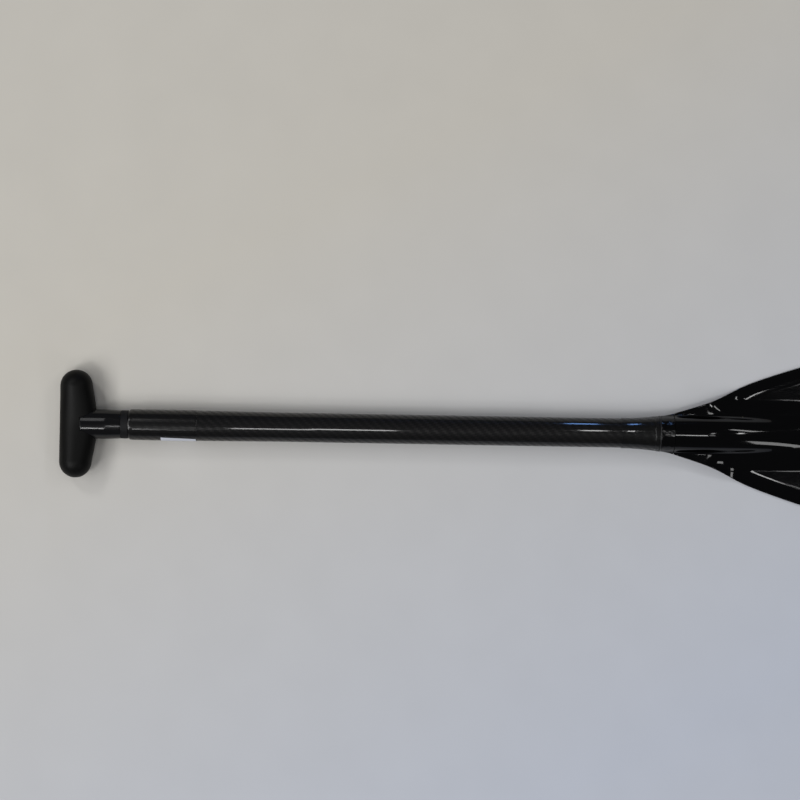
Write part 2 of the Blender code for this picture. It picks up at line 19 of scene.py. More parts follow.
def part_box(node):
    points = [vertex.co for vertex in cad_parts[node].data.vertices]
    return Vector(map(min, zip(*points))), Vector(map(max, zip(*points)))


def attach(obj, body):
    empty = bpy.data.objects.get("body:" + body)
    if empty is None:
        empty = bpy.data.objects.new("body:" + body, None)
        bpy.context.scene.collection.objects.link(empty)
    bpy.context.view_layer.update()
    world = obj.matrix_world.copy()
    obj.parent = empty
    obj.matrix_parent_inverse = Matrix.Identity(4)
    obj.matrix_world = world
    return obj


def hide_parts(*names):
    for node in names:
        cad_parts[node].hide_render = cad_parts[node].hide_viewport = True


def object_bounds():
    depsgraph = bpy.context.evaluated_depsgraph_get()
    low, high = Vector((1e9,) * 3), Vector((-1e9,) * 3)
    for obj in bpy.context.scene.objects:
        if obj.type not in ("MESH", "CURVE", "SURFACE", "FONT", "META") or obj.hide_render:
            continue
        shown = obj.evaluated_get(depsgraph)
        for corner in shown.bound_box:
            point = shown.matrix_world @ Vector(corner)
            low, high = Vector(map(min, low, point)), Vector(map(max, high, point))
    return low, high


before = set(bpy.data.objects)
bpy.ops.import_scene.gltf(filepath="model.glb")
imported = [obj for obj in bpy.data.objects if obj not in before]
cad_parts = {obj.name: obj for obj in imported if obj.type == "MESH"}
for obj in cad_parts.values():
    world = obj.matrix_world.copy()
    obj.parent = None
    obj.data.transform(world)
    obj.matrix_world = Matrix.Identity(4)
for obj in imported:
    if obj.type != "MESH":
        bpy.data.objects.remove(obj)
CAD_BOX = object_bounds()
START_X = CAD_BOX[0].x
AXIS_Z = (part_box("stem_ring")[0].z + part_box("stem_ring")[1].z) / 2

MILLIMETRE = 0.001
MERGE_DISTANCE = 0.000001
LOG = logging.getLogger("paddle")

Point = tuple[float, float, float]


class Side(Enum):
    """The two skins of the blade."""

    BACK = 1
    FACE = -1


class Lie(Enum):
    """How a surface's grid closes on itself."""

    OPEN = 0
    ROUND = 1
    RING = 2


# Colours

def linear(hex_colour: str) -> tuple[float, float, float, float]:
    """Turn an sRGB hex colour into the linear colour that a shader takes.

    Args:
        hex_colour: A colour such as "#1c1c1e".

    Returns:
        Linear red, green and blue, with alpha 1.
    """
    channels = [int(hex_colour[i : i + 2], 16) / 255 for i in (1, 3, 5)]
    red, green, blue = [c / 12.92 if c <= 0.04045 else ((c + 0.055) / 1.055) ** 2.4 for c in channels]
    return red, green, blue, 1.0


# Meshes

def grid_faces(rows: int, columns: int, lie: Lie, first: int) -> np.ndarray:
    """Quads of a grid of points, row by row.

    Args:
        rows: Number of rows.
        columns: Number of points in a row.
        lie: OPEN leaves the grid open, ROUND closes each row, and RING closes the rows on each other too.
        first: Number of the grid's first vertex.

    Returns:
        Vertex numbers of the quads, four to a row.
    """
    wide = columns if lie is not Lie.OPEN else columns - 1
    long = rows if lie is Lie.RING else rows - 1
    row, column = np.meshgrid(np.arange(long), np.arange(wide), indexing="ij")
    next_row = (row + 1) % rows
    next_column = (column + 1) % columns
    corners = (
        row * columns + column,
        row * columns + next_column,
        next_row * columns + next_column,
        next_row * columns + column,
    )
    return first + np.stack(corners, axis=-1).reshape(-1, 4)


@dataclass
class Patchwork:
    """Surfaces that are gathered into one closed mesh."""

    points: list[np.ndarray] = field(default_factory=list)
    faces: list[list[int]] = field(default_factory=list)
    count: int = 0

    def grid(self, points: np.ndarray, lie: Lie = Lie.ROUND) -> None:
        """Add a grid of points.

        Args:
            points: Rows by columns by 3, as station, across and height over the shaft's axis.
            lie: How the grid closes.
        """
        rows, columns = points.shape[:2]
        self.points.append(points.reshape(-1, 3))
        self.faces += grid_faces(rows, columns, lie, self.count).tolist()
        self.count += rows * columns

    def fill(self, numbers: Sequence[int]) -> None:
        """Add one flat face through vertices that are already there."""
        self.faces.append([int(number) for number in numbers])

    def mesh(self, name: str, sharp_deg: float) -> bpy.types.Mesh:
        """Make the mesh, with seams and poles merged, faces outwards and only true corners sharp.

        Args:
            name: Name of the mesh.
            sharp_deg: Angle between two faces over which their edge stays sharp.

        Returns:
            The mesh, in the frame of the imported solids.
        """
        places = np.concatenate(self.points) + np.array((START_X, 0.0, AXIS_Z))
        mesh = bpy.data.meshes.new(name)
        mesh.from_pydata(places.tolist(), [], self.faces)
        work = bmesh.new()
        work.from_mesh(mesh)
        bmesh.ops.remove_doubles(work, verts=work.verts, dist=MERGE_DISTANCE)
        bmesh.ops.dissolve_degenerate(work, edges=work.edges, dist=MERGE_DISTANCE)
        bmesh.ops.recalc_face_normals(work, faces=work.faces)
        work.to_mesh(mesh)
        work.free()
        mesh.shade_smooth()
        mesh.set_sharp_from_angle(angle=math.radians(sharp_deg))
        return mesh


def place(
    name: str, mesh: bpy.types.Mesh, finish: "Finish", nodes: Sequence[str] = ()
) -> None:
    """Put a finished piece in the scene, on the paddle's one body.

    Args:
        name: Name of the piece.
        mesh: Its mesh, in place.
        finish: Its finish.
        nodes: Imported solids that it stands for.
    """
    piece = bpy.data.objects.new(name, mesh)
    bpy.context.scene.collection.objects.link(piece)
    mesh.materials.clear()
    mesh.materials.append(finish.material())
    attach(piece, "root")
    if nodes:
        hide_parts(*nodes)
    LOG.info("%s: %d faces", name, len(mesh.polygons))


def carve(mesh: bpy.types.Mesh, tool: bpy.types.Mesh, operation: str) -> bpy.types.Mesh:
    """Cut one closed mesh by another, or join the two, and keep the result as a new mesh.

    Args:
        mesh: The mesh that is changed.
        tool: The mesh that cuts it or is joined to it.
        operation: DIFFERENCE or UNION.

    Returns:
        The new mesh.
    """
    body = bpy.data.objects.new("carved", mesh)
    cutter = bpy.data.objects.new("carver", tool)
    for item in (body, cutter):
        bpy.context.scene.collection.objects.link(item)
    modifier = body.modifiers.new("carve", "BOOLEAN")
    modifier.operation = operation
    modifier.solver = "EXACT"
    modifier.object = cutter
    graph = bpy.context.evaluated_depsgraph_get()
    result = bpy.data.meshes.new_from_object(body.evaluated_get(graph))
    for item in (body, cutter):
        bpy.data.objects.remove(item)
    return result


def rounded_profile(corners: Sequence[Point], steps: int = 5, hold: float = 0.0003) -> np.ndarray:
    """Round the corners of a profile, with a short straight stretch kept beside each fillet.

    A fillet of radius f at a corner that turns by a starts f * tan(a / 2) before it. Its points are the
    centre plus f times a direction that turns evenly from the first side's normal to the second's.

    Args:
        corners: Each corner's station, radius and fillet.
        steps: Faces of each fillet.
        hold: Length of the straight stretch.

    Returns:
        The profile's points as station and radius.
    """
    spots = np.array([corner[:2] for corner in corners])
    out = [spots[0]]
    for i in range(1, len(corners) - 1):
        fillet = corners[i][2]
        before, after = spots[i - 1] - spots[i], spots[i + 1] - spots[i]
        near, far = np.linalg.norm(before), np.linalg.norm(after)
        if fillet <= 0.0:
            out.append(spots[i])
            continue
        before, after = before / near, after / far
        opening = math.acos(float(np.clip(before @ after, -1.0, 1.0)))
        reach = fillet / math.tan(opening / 2)
        centre = spots[i] + (before + after) / np.linalg.norm(before + after) * fillet / math.sin(opening / 2)
        start = spots[i] + before * reach - centre
        end = spots[i] + after * reach - centre
        turn = math.pi - opening
        shares = np.linspace(0.0, 1.0, steps + 1)[:, None]
        arc = (np.sin((1 - shares) * turn) * start + np.sin(shares * turn) * end) / math.sin(turn)
        if near > 2 * (reach + hold):
            out.append(spots[i] + before * (reach + hold))
        out += list(centre + arc)
        if far > 2 * (reach + hold):
            out.append(spots[i] + after * (reach + hold))
    out.append(spots[-1])
    return np.array(out)


def revolve(profile: np.ndarray, sides: int) -> np.ndarray:
    """Turn a profile round the shaft's axis: across = radius * sin(angle), height = radius * cos(angle).

    Args:
        profile: Points as station and radius.
        sides: Points round the axis.

    Returns:
        Rows by columns of points.
    """
    angle = np.linspace(0.0, math.tau, sides, endpoint=False)
    station = np.repeat(profile[:, :1], sides, axis=1)
    return np.stack((station, profile[:, 1:] * np.sin(angle), profile[:, 1:] * np.cos(angle)), axis=-1)


# Finishes

# What goes into a socket: a value, another node, or one of its outputs
Wire = Union[float, Sequence[float], bpy.types.Node, bpy.types.NodeSocket]


class Shader:
    """The node tree of one material, with short calls for the nodes that the finishes share."""

    def __init__(self, name: str) -> None:
        """Start an empty material with an output node.

        Args:
            name: Name of the material.
        """
        self.material = bpy.data.materials.new(name)
        self.material.use_nodes = True
        self.tree = self.material.node_tree
        self.tree.nodes.clear()
        self.output = self.add("OutputMaterial", {})

    def add(self, kind: str, inputs: dict, **settings: object) -> bpy.types.Node:
        """Add a node with its settings, values and links.

        Args:
            kind: The node's type without its first word.
            inputs: Values, or outputs of other nodes, by socket name or number.
            settings: The node's own properties.

        Returns:
            The node.
        """
        node = self.tree.nodes.new("ShaderNode" + kind)
        for key, value in settings.items():
            setattr(node, key, value)
        for key, value in inputs.items():
            if isinstance(value, bpy.types.Node):
                value = value.outputs[0]
            if isinstance(value, bpy.types.NodeSocket):
                self.tree.links.new(value, node.inputs[key])
            else:
                node.inputs[key].default_value = value
        return node

    def where(self) -> bpy.types.NodeSocket:
        """The piece's own coordinates in metres, on which every pattern is laid out."""
        return self.add("TexCoord", {}).outputs["Object"]

    def stretch(self, where: Wire, scale: Point) -> bpy.types.Node:
        """Coordinates that draw a pattern out along each axis whose scale is below 1."""
        return self.add("Mapping", {"Vector": where, "Scale": scale})

    def noise(self, where: Wire, size_mm: float, detail: float, roughness: float = 0.5) -> bpy.types.Node:
        """Noise with lumps of about that many millimetres."""
        inputs = {"Vector": where, "Scale": 1 / (size_mm * MILLIMETRE), "Detail": detail}
        return self.add("TexNoise", inputs | {"Roughness": roughness})

    def calc(self, operation: str, *terms: Wire) -> bpy.types.Node:
        """Work out one number from the terms."""
        return self.add("Math", dict(enumerate(terms)), operation=operation)

    def spread(self, share: Wire, low: float, high: float) -> bpy.types.Node:
        """Turn a share from 0 to 1 into a value from low to high."""
        return self.add("MapRange", {0: share, 3: low, 4: high})

    def pick(self, share: Wire, first: Wire, second: Wire) -> bpy.types.Node:
        """Mix two numbers by a share."""
        return self.add("Mix", {0: share, 2: first, 3: second}, data_type="FLOAT")

    def blend(self, share: Wire, first: str, second: str) -> bpy.types.NodeSocket:
        """Mix two hex colours by a share."""
        inputs = {0: share, 6: linear(first), 7: linear(second)}
        return self.add("Mix", inputs, data_type="RGBA").outputs[2]

    def shade(self, colour: Wire, factor: Wire) -> bpy.types.Node:
        """Darken or lighten a colour by a factor."""
        return self.add("VectorMath", {0: colour, 3: factor}, operation="SCALE")

    def bump(self, height: Wire, strength: float, rise_mm: float, **more: Wire) -> bpy.types.Node:
        """Bump whose full height is that many millimetres."""
        inputs = {"Height": height, "Strength": strength, "Distance": rise_mm * MILLIMETRE}
        return self.add("Bump", inputs | more)

    def close(self, inputs: dict) -> bpy.types.Material:
        """Add the surface and link it to the output.

        Args:
            inputs: Values and links of the surface, by socket name.

        Returns:
            The finished material.
        """
        surface = self.add("BsdfPrincipled", inputs)
        self.tree.links.new(surface.outputs[0], self.output.inputs["Surface"])
        return self.material


class Finish:
    """A surface finish, which makes its material once."""

    def material(self) -> bpy.types.Material:
        """Find the finish's material, or make it at the first call.

        Returns:
            The material.
        """
        name = type(self).__name__
        found = bpy.data.materials.get(name)
        return found if found is not None else self.build(Shader(name))

    def build(self, shader: Shader) -> bpy.types.Material:
        """Fill the shader's nodes and return its material."""
        raise NotImplementedError


@dataclass(frozen=True)
class SoftTouchElastomer(Finish):
    """Thermoplastic elastomer moulded over the grip: fine matte grain that spreads light into a soft band."""

    colour: str = "#070707"
    worn_colour: str = "#0b0b0a"
    smoothest: float = 0.41
    roughest: float = 0.52
    specular: float = 0.1
    grain_mm: float = 0.5
    patch_mm: float = 18.0

    def build(self, shader: Shader) -> bpy.types.Material:
        """A fine pebble grain as bump, and slow patches where hands have polished it.

        Args:
            shader: The empty node tree.

        Returns:
            The material.
        """
        where = shader.where()
        grain = shader.noise(where, self.grain_mm, detail=2.0, roughness=0.6)
        patch = shader.noise(where, self.patch_mm, detail=3.0)
        return shader.close(
            {
                "Base Color": shader.blend(patch, self.colour, self.worn_colour),
                "Roughness": shader.spread(patch, self.smoothest, self.roughest),
                "Normal": shader.bump(grain, strength=0.25, rise_mm=0.05),
                "Specular IOR Level": self.specular,
            }
        )


@dataclass(frozen=True)
class PolishedNylon(Finish):
    """Glass-filled nylon from a polished mould: a clear, slightly soft highlight with faint flow lines."""

    colour: str = "#0f0f10"
    smoothest: float = 0.09
    roughest: float = 0.19
    specular: float = 0.28
    flow_mm: float = 9.0
    flow_draw: float = 0.25

    def build(self, shader: Shader) -> bpy.types.Material:
        """Long flow marks along the stem vary the roughness, and a low ripple bends the highlight.

        Args:
            shader: The empty node tree.

        Returns:
            The material.
        """
        drawn = shader.stretch(shader.where(), (self.flow_draw, 1.0, 1.0))
        flow = shader.noise(drawn, self.flow_mm, detail=4.0)
        return shader.close(
            {
                "Base Color": linear(self.colour),
                "Roughness": shader.spread(flow, self.smoothest, self.roughest),
                "Normal": shader.bump(flow, strength=0.15, rise_mm=0.1),
                "Specular IOR Level": self.specular,
            }
        )


@dataclass(frozen=True)
class MatteSealRubber(Finish):
    """Moulded nitrile ring: dull, with a dusty bloom."""

    colour: str = "#08080a"
    bloom_colour: str = "#0e0e10"
    roughness: float = 0.62
    specular: float = 0.2
    bloom_mm: float = 2.5

    def build(self, shader: Shader) -> bpy.types.Material:
        """Blotches of bloom lighten the rubber a little.

        Args:
            shader: The empty node tree.

        Returns:
            The material.
        """
        bloom = shader.noise(shader.where(), self.bloom_mm, detail=5.0)
        return shader.close(
            {
                "Base Color": shader.blend(bloom, self.colour, self.bloom_colour),
                "Roughness": self.roughness,
                "Normal": shader.bump(bloom, strength=0.3, rise_mm=0.05),
                "Specular IOR Level": self.specular,
            }
        )


@dataclass(frozen=True)
class CarbonTwill(Finish):
    """Two-by-two twill of 3K carbon tows under clear epoxy lacquer.

    Tows that run along the shaft and tows that run round it catch the light by turns, which gives the slanted
    ribs four tows apart: their roughness differs, and the tows along the shaft get a painted sheen, a lighter
    base colour. The dips where the tows dive get painted shade. The lacquer over them has its own sharp
    highlight.
    """

    tow_mm: float = 2.15
    tows_round: int = 44
    tows_apart: float = 4.0
    float_length: float = 2.0
    dive_power: float = 4.0
    # Painted sheen: the lighter base colour of the tows along the shaft stands in for their glint
    along_sheen_colour: str = "#141313"
    around_colour: str = "#040404"
    fibre_mm: float = 0.22
    fibre_draw: float = 0.04
    along_roughness: float = 0.3
    around_roughness: float = 0.55
    weave_specular: float = 0.12
    lacquer_ior: float = 1.42
    lacquer_roughness: float = 0.035
    lacquer_weight: float = 0.6
    peel_mm: float = 3.5
    peel_strength: float = 0.04

    def build(self, shader: Shader) -> bpy.types.Material:
        """Cells of the weave from the station and the angle round the shaft, in counts of tows.

        A cell's place on the slant is (column - row) mod 4. At 0 and 1 the tow along the shaft lies on top.
        Each tow is crowned across its width and dives at the ends of its float.

        Args:
            shader: The empty node tree.

        Returns:
            The material.
        """
        where, calc = shader.where(), shader.calc
        parts = shader.add("SeparateXYZ", {0: where})
        height = calc("SUBTRACT", parts.outputs["Z"], AXIS_Z)
        angle = calc("ARCTAN2", calc("MULTIPLY", parts.outputs["Y"], -1.0), height)
        along = calc("MULTIPLY", parts.outputs["X"], 1 / (self.tow_mm * MILLIMETRE))
        around = calc("MULTIPLY", angle, self.tows_round / math.tau)
        step = calc("SUBTRACT", calc("FLOOR", along), calc("FLOOR", around))
        slant = calc("FLOORED_MODULO", step, self.tows_apart)
        lengthwise = calc("LESS_THAN", slant, self.float_length - 0.5)
        part_along, part_around = calc("FRACT", along), calc("FRACT", around)

        # Place along a float of two cells, from -1 to 1, for either run of tows
        run_along = calc("SUBTRACT", calc("ADD", slant, part_along), 1.0)
        run_around = calc("ADD", calc("SUBTRACT", part_around, slant), 2.0)
        heights = []
        for part, run in ((part_around, run_along), (part_along, run_around)):
            # Crown across a tow: 4 f (1 - f), with f the share of its width, laid over half its height
            crown = calc("MULTIPLY", calc("MULTIPLY", part, calc("SUBTRACT", 1.0, part)), 4.0)
            dive = calc("SUBTRACT", 1.0, calc("POWER", run, self.dive_power))
            heights.append(calc("MULTIPLY", calc("MULTIPLY_ADD", crown, 0.5, 0.5), dive))
        relief = shader.pick(lengthwise, heights[1], heights[0])

        # Fibres: streaks across each tow's run, drawn long with it
        draw = self.fibre_draw
        streaks = [
            shader.noise(shader.stretch(where, scale), self.fibre_mm, detail=1.0)
            for scale in ((draw, 1.0, 1.0), (1.0, draw, draw))
        ]
        fibres = shader.spread(shader.pick(lengthwise, streaks[1], streaks[0]), low=0.75, high=1.2)
        # Painted shade: the base colour darkens to 0.35 of itself where a tow dives at the end of its float
        depth = shader.spread(relief, low=0.35, high=1.0)
        # Painted sheen: tows along the shaft get a lighter base colour than tows round it
        colour = shader.blend(lengthwise, self.around_colour, self.along_sheen_colour)
        peel = shader.noise(where, self.peel_mm, detail=2.0)
        return shader.close(
            {
                "Base Color": shader.shade(colour, calc("MULTIPLY", depth, fibres)),
                "Specular IOR Level": self.weave_specular,
                "Roughness": shader.pick(lengthwise, self.around_roughness, self.along_roughness),
                "Normal": shader.bump(relief, strength=0.6, rise_mm=0.15),
                "Coat Weight": self.lacquer_weight,
                "Coat Roughness": self.lacquer_roughness,
                "Coat IOR": self.lacquer_ior,
                "Coat Normal": shader.bump(peel, self.peel_strength, rise_mm=0.1),
            }
        )


@dataclass(frozen=True)
class SatinCarbon(CarbonTwill):
    """The same twill on the sleeve, rubbed down to a satin that widens and dims its highlight."""

    # Painted sheen of the tows along the shaft, on the satin sleeve
    along_sheen_colour: str = "#100f0f"
    lacquer_roughness: float = 0.12
    peel_strength: float = 0.1


@dataclass(frozen=True)
class HandLaidWrap(CarbonTwill):
    """Twill laid by hand round the joint, with a wavier coat of resin."""

    # Painted sheen of the tows along the shaft, on the hand-laid wrap
    along_sheen_colour: str = "#0c0c0b"
    lacquer_roughness: float = 0.05
    peel_mm: float = 7.0
    peel_strength: float = 0.35


@dataclass(frozen=True)
class FilletEpoxy(Finish):
    """Filled epoxy squeezed out at a seam and left as it set: charcoal grey, with a dull shine."""

    colour: str = "#1a1a1b"
    roughness: float = 0.35
    ior: float = 1.55
    lump_mm: float = 1.2

    def build(self, shader: Shader) -> bpy.types.Material:
        """Small lumps vary both the shade and the height.

        Args:
            shader: The empty node tree.

        Returns:
            The material.
        """
        lump = shader.noise(shader.where(), self.lump_mm, detail=3.0)
        return shader.close(
            {
                "Base Color": shader.shade(linear(self.colour)[:3], shader.spread(lump, low=0.4, high=1.6)),
                "Roughness": self.roughness,
                "Normal": shader.bump(lump, strength=0.5, rise_mm=0.2),
                "IOR": self.ior,
            }
        )


@dataclass(frozen=True)
class BlackGelcoat(Finish):
    """Black polyester gelcoat polished to a mirror, slightly wavy from hand work."""

    colour: str = "#030303"
    smoothest: float = 0.04
    roughest: float = 0.08
    ior: float = 1.36
    wave_mm: float = 26.0
    wave_strength: float = 0.10
    peel_mm: float = 4.0

    def build(self, shader: Shader) -> bpy.types.Material:
        """A slow wave and a faint orange peel bend the reflections, and the peel varies the gloss.

        Args:
            shader: The empty node tree.

        Returns:
            The material.
        """
        where = shader.where()
        wave = shader.noise(where, self.wave_mm, detail=1.0)
        peel = shader.noise(where, self.peel_mm, detail=2.0)
        slow = shader.bump(wave, self.wave_strength, rise_mm=1.0)
        return shader.close(
            {
                "Base Color": linear(self.colour),
                "Roughness": shader.spread(peel, self.smoothest, self.roughest),
                "Normal": shader.bump(peel, strength=0.05, rise_mm=0.1, Normal=slow),
                "IOR": self.ior,
            }
        )


@dataclass(frozen=True)
class CollarGelcoat(BlackGelcoat):
    """The same gelcoat on the collar, with drips and sanding left near the seam."""

    smoothest: float = 0.10
    roughest: float = 0.14
    wave_mm: float = 5.0
    wave_strength: float = 0.45


@dataclass(frozen=True)
class ClosedCellFoam(Finish):
    """Cut PVC foam: pale, dull and full of small cells."""

    colour: str = "#c9c0a4"
    roughness: float = 0.9
    cell_mm: float = 0.8

    def build(self, shader: Shader) -> bpy.types.Material:
        """Cells from a Voronoi pattern, with painted shade: darker at their hearts, where the bump sinks into
        a pit.

        Args:
            shader: The empty node tree.

        Returns:
            The material.
        """
        scale = 1 / (self.cell_mm * MILLIMETRE)
        cell = shader.add("TexVoronoi", {"Vector": shader.where(), "Scale": scale})
        # Painted shade: the base colour darkens to 0.7 towards each cell's sunken heart
        return shader.close(
            {
                "Base Color": shader.shade(linear(self.colour)[:3], shader.spread(cell, low=0.7, high=1.0)),
                "Roughness": self.roughness,
                "Normal": shader.bump(cell, strength=0.5, rise_mm=0.2),
            }
        )


@dataclass(frozen=True)
class BlankVinyl(Finish):
    """White vinyl film with nothing printed on it."""

    colour: str = "#c9cdd8"
    roughness: float = 0.45
    crease_mm: float = 6.0

    def build(self, shader: Shader) -> bpy.types.Material:
        """Faint creases from being smoothed on by hand.

        Args:
            shader: The empty node tree.

        Returns:
            The material.
        """
        crease = shader.noise(shader.where(), self.crease_mm, detail=3.0)
        bump = shader.bump(crease, strength=0.15, rise_mm=0.1)
        return shader.close({"Base Color": linear(self.colour), "Roughness": self.roughness, "Normal": bump})


@dataclass(frozen=True)
class PaleBoard(Finish):
    """Pale matte plastic sheet, with painted light: a shade warmer at its far left and cooler at its near
    right.
    """

    warm_colour: str = "#bfbbb2"
    cool_colour: str = "#b4b9c4"
    roughness: float = 0.75
    light_drift_length: float = 0.70
    light_drift_direction: Point = (0.5, -0.87, 0.0)
    light_drift_range: tuple[float, float] = (-0.48, 0.42)
    mottle_mm: float = 60.0

    def build(self, shader: Shader) -> bpy.types.Material:
        """A barely visible mottle over a slow drift of the colour across the sheet, the drift being painted
        light.

        Args:
            shader: The empty node tree.

        Returns:
            The material.
        """
        where = shader.where()
        # Painted light: the colour drifts from warm to cool across the sheet, standing in for the lamps'
        # uneven tint and falloff
        slope = [part / self.light_drift_length for part in self.light_drift_direction]
        drift = shader.add("VectorMath", {0: where, 1: slope}, operation="DOT_PRODUCT").outputs["Value"]
        first, last = self.light_drift_range
        share = shader.add("MapRange", {0: drift, 1: first, 2: last})
        mottle = shader.noise(where, self.mottle_mm, detail=2.0)
        colour = shader.blend(share, self.warm_colour, self.cool_colour)
        sheet = shader.shade(colour, shader.spread(mottle, low=0.97, high=1.03))
        return shader.close({"Base Color": sheet, "Roughness": self.roughness})


# The grip

@dataclass
class Grip:
    """The T grip: a soft skin over a rigid crossbar, with a polished stem that runs into the shaft."""

    bar_length: float = 0.1065
    bar_diameter: float = 0.0320
    middle_depth: float = 0.0375
    middle_height: float = 0.0268
    skin: float = 0.0025
    swell_power: float = 1.3
    swell_softness: float = 0.06
    stem_root: float = 0.0212
    root_diameter: float = 0.0295
    stem_end: float = 0.0607
    end_diameter: float = 0.0281
    taper_length: float = 0.0150
    spigot_radius: float = 0.0127
    spigot_end: float = 0.1133
    bore_radius: float = 0.0090
    bore_start: float = 0.0433
    ring_start: float = 0.0610
    ring_end: float = 0.0680
    ring_radius: float = 0.01395
    ring_bore: float = 0.0130
    bond: float = 0.0003
    root_fillet: float = 0.0006
    taper_fillet: float = 0.0500
    edge_fillet: float = 0.0004
    spigot_fillet: float = 0.0005
    body_rows: int = 61
    cap_rows: int = 22
    sides: int = 96
    turned_sides: int = 128
    hidden_fineness: float = 0.5
    sharp_deg: float = 40.0

    def swell(self, across: np.ndarray) -> np.ndarray:
        """How far the bar has gone from its round ends, 0, to its middle, 1.

        The share is 1 - t ** 1.3, with t the distance from the middle over the straight half length. Close
        to the middle t is softened to sqrt(t * t + s * s), so the crown has no crease there.

        Args:
            across: Places across the paddle.

        Returns:
            The share at each.
        """
        body_end = (self.bar_length - self.bar_diameter) / 2
        share = np.minimum(np.abs(across) / body_end, 1.0)
        power = self.swell_power
        softened = (share**2 + self.swell_softness**2) ** (power / 2)
        last = (1 + self.swell_softness**2) ** (power / 2)
        first = self.swell_softness**power
        return 1 - (softened - first) / (last - first)

    def bar(self, inset: float, fineness: float = 1.0) -> np.ndarray:
        """Surface of the bar, drawn in by an inset.

        Each section across the bar is an ellipse whose outer side stays at station 0. Its half axes are the
        depth and the height at that place less the inset, and shrink with the cosine of the cap's angle.

        Args:
            inset: Distance inside the skin's outer surface.
            fineness: Share of the full number of rows and of points round a section.

        Returns:
            Rows by columns of points.
        """
        radius = self.bar_diameter / 2
        body_end = self.bar_length / 2 - radius
        sides = int(self.sides * fineness)
        angles = np.linspace(0.0, math.pi / 2, int(self.cap_rows * fineness) + 1)[1:]
        body = np.linspace(-body_end, body_end, int(self.body_rows * fineness))
        cap = body_end + (radius - inset) * np.sin(angles)
        across = np.concatenate((-cap[::-1], body, cap))
        size = np.concatenate((np.cos(angles)[::-1], np.ones(len(body)), np.cos(angles)))
        swell = self.swell(across)
        middle = (self.bar_diameter + (self.middle_depth - self.bar_diameter) * swell) / 2
        crown = (self.bar_diameter + (self.middle_height - self.bar_diameter) * swell) / 2
        turn = np.linspace(0.0, math.tau, sides, endpoint=False)
        station = middle[:, None] + ((middle - inset) * size)[:, None] * np.cos(turn)
        height = ((crown - inset) * size)[:, None] * np.sin(turn)
        return np.stack((station, np.repeat(across[:, None], sides, axis=1), height), axis=-1)

    def make_skin(self) -> None:
        """The skin: the bar's surface hollowed by the core, with a round opening for the stem."""
        outer, hollow, hole = Patchwork(), Patchwork(), Patchwork()
        outer.grid(self.bar(0.0))
        hollow.grid(self.bar(self.skin, self.hidden_fineness))
        radius = self.root_diameter / 2 + self.bond
        start = self.stem_root - self.bond
        corners = ((start, 0.0), (start, radius), (self.stem_end, radius), (self.stem_end, 0.0))
        hole.grid(revolve(np.array(corners), self.turned_sides))
        sharp = self.sharp_deg
        mesh = carve(outer.mesh("skin_outer", sharp), hollow.mesh("skin_hollow", sharp), "DIFFERENCE")
        mesh = carve(mesh, hole.mesh("skin_hole", sharp), "DIFFERENCE")
        mesh.set_sharp_from_angle(angle=math.radians(sharp))
        place("grip_soft_skin", mesh, SoftTouchElastomer(), ("grip_skin",))

    def make_core(self) -> None:
        """The rigid T: crossbar and stem in one, with a stepped and bored spigot."""
        bar, stem = Patchwork(), Patchwork()
        bar.grid(self.bar(self.skin + self.bond, self.hidden_fineness))
        profile = rounded_profile(
            (
                (self.stem_root, 0.0, 0.0),
                (self.stem_root, self.root_diameter / 2, self.root_fillet),
                (self.stem_end - self.taper_length, self.root_diameter / 2, self.taper_fillet),
                (self.stem_end, self.end_diameter / 2, self.edge_fillet),
                (self.stem_end, self.spigot_radius, 0.0),
                (self.spigot_end, self.spigot_radius, self.spigot_fillet),
                (self.spigot_end, self.bore_radius, 0.0),
                (self.bore_start, self.bore_radius, 0.0),
                (self.bore_start, 0.0, 0.0),
            )
        )
        stem.grid(revolve(profile, self.turned_sides))
        mesh = carve(stem.mesh("stem", self.sharp_deg), bar.mesh("crossbar", self.sharp_deg), "UNION")
        mesh.set_sharp_from_angle(angle=math.radians(self.sharp_deg))
        place("grip_moulding", mesh, PolishedNylon(), ("grip_core",))

    def make_ring(self) -> None:
        """The ring at the stem's shoulder, a turned band with softened corners."""
        work = Patchwork()
        middle = (self.ring_start, (self.ring_bore + self.ring_radius) / 2, 0.0)
        profile = rounded_profile(
            (
                middle,
                (self.ring_start, self.ring_radius, self.edge_fillet),
                (self.ring_end, self.ring_radius, self.edge_fillet),
                (self.ring_end, self.ring_bore, 0.0),
                (self.ring_start, self.ring_bore, 0.0),
                middle,
            )
        )
        work.grid(revolve(profile[:-1], self.turned_sides), Lie.RING)
        mesh = work.mesh("stem_seal", self.sharp_deg)
        place("stem_seal", mesh, MatteSealRubber(), ("stem_ring",))

    def make(self) -> None:
        """Make the grip's three pieces."""
        self.make_core()
        self.make_skin()
        self.make_ring()


# The shaft

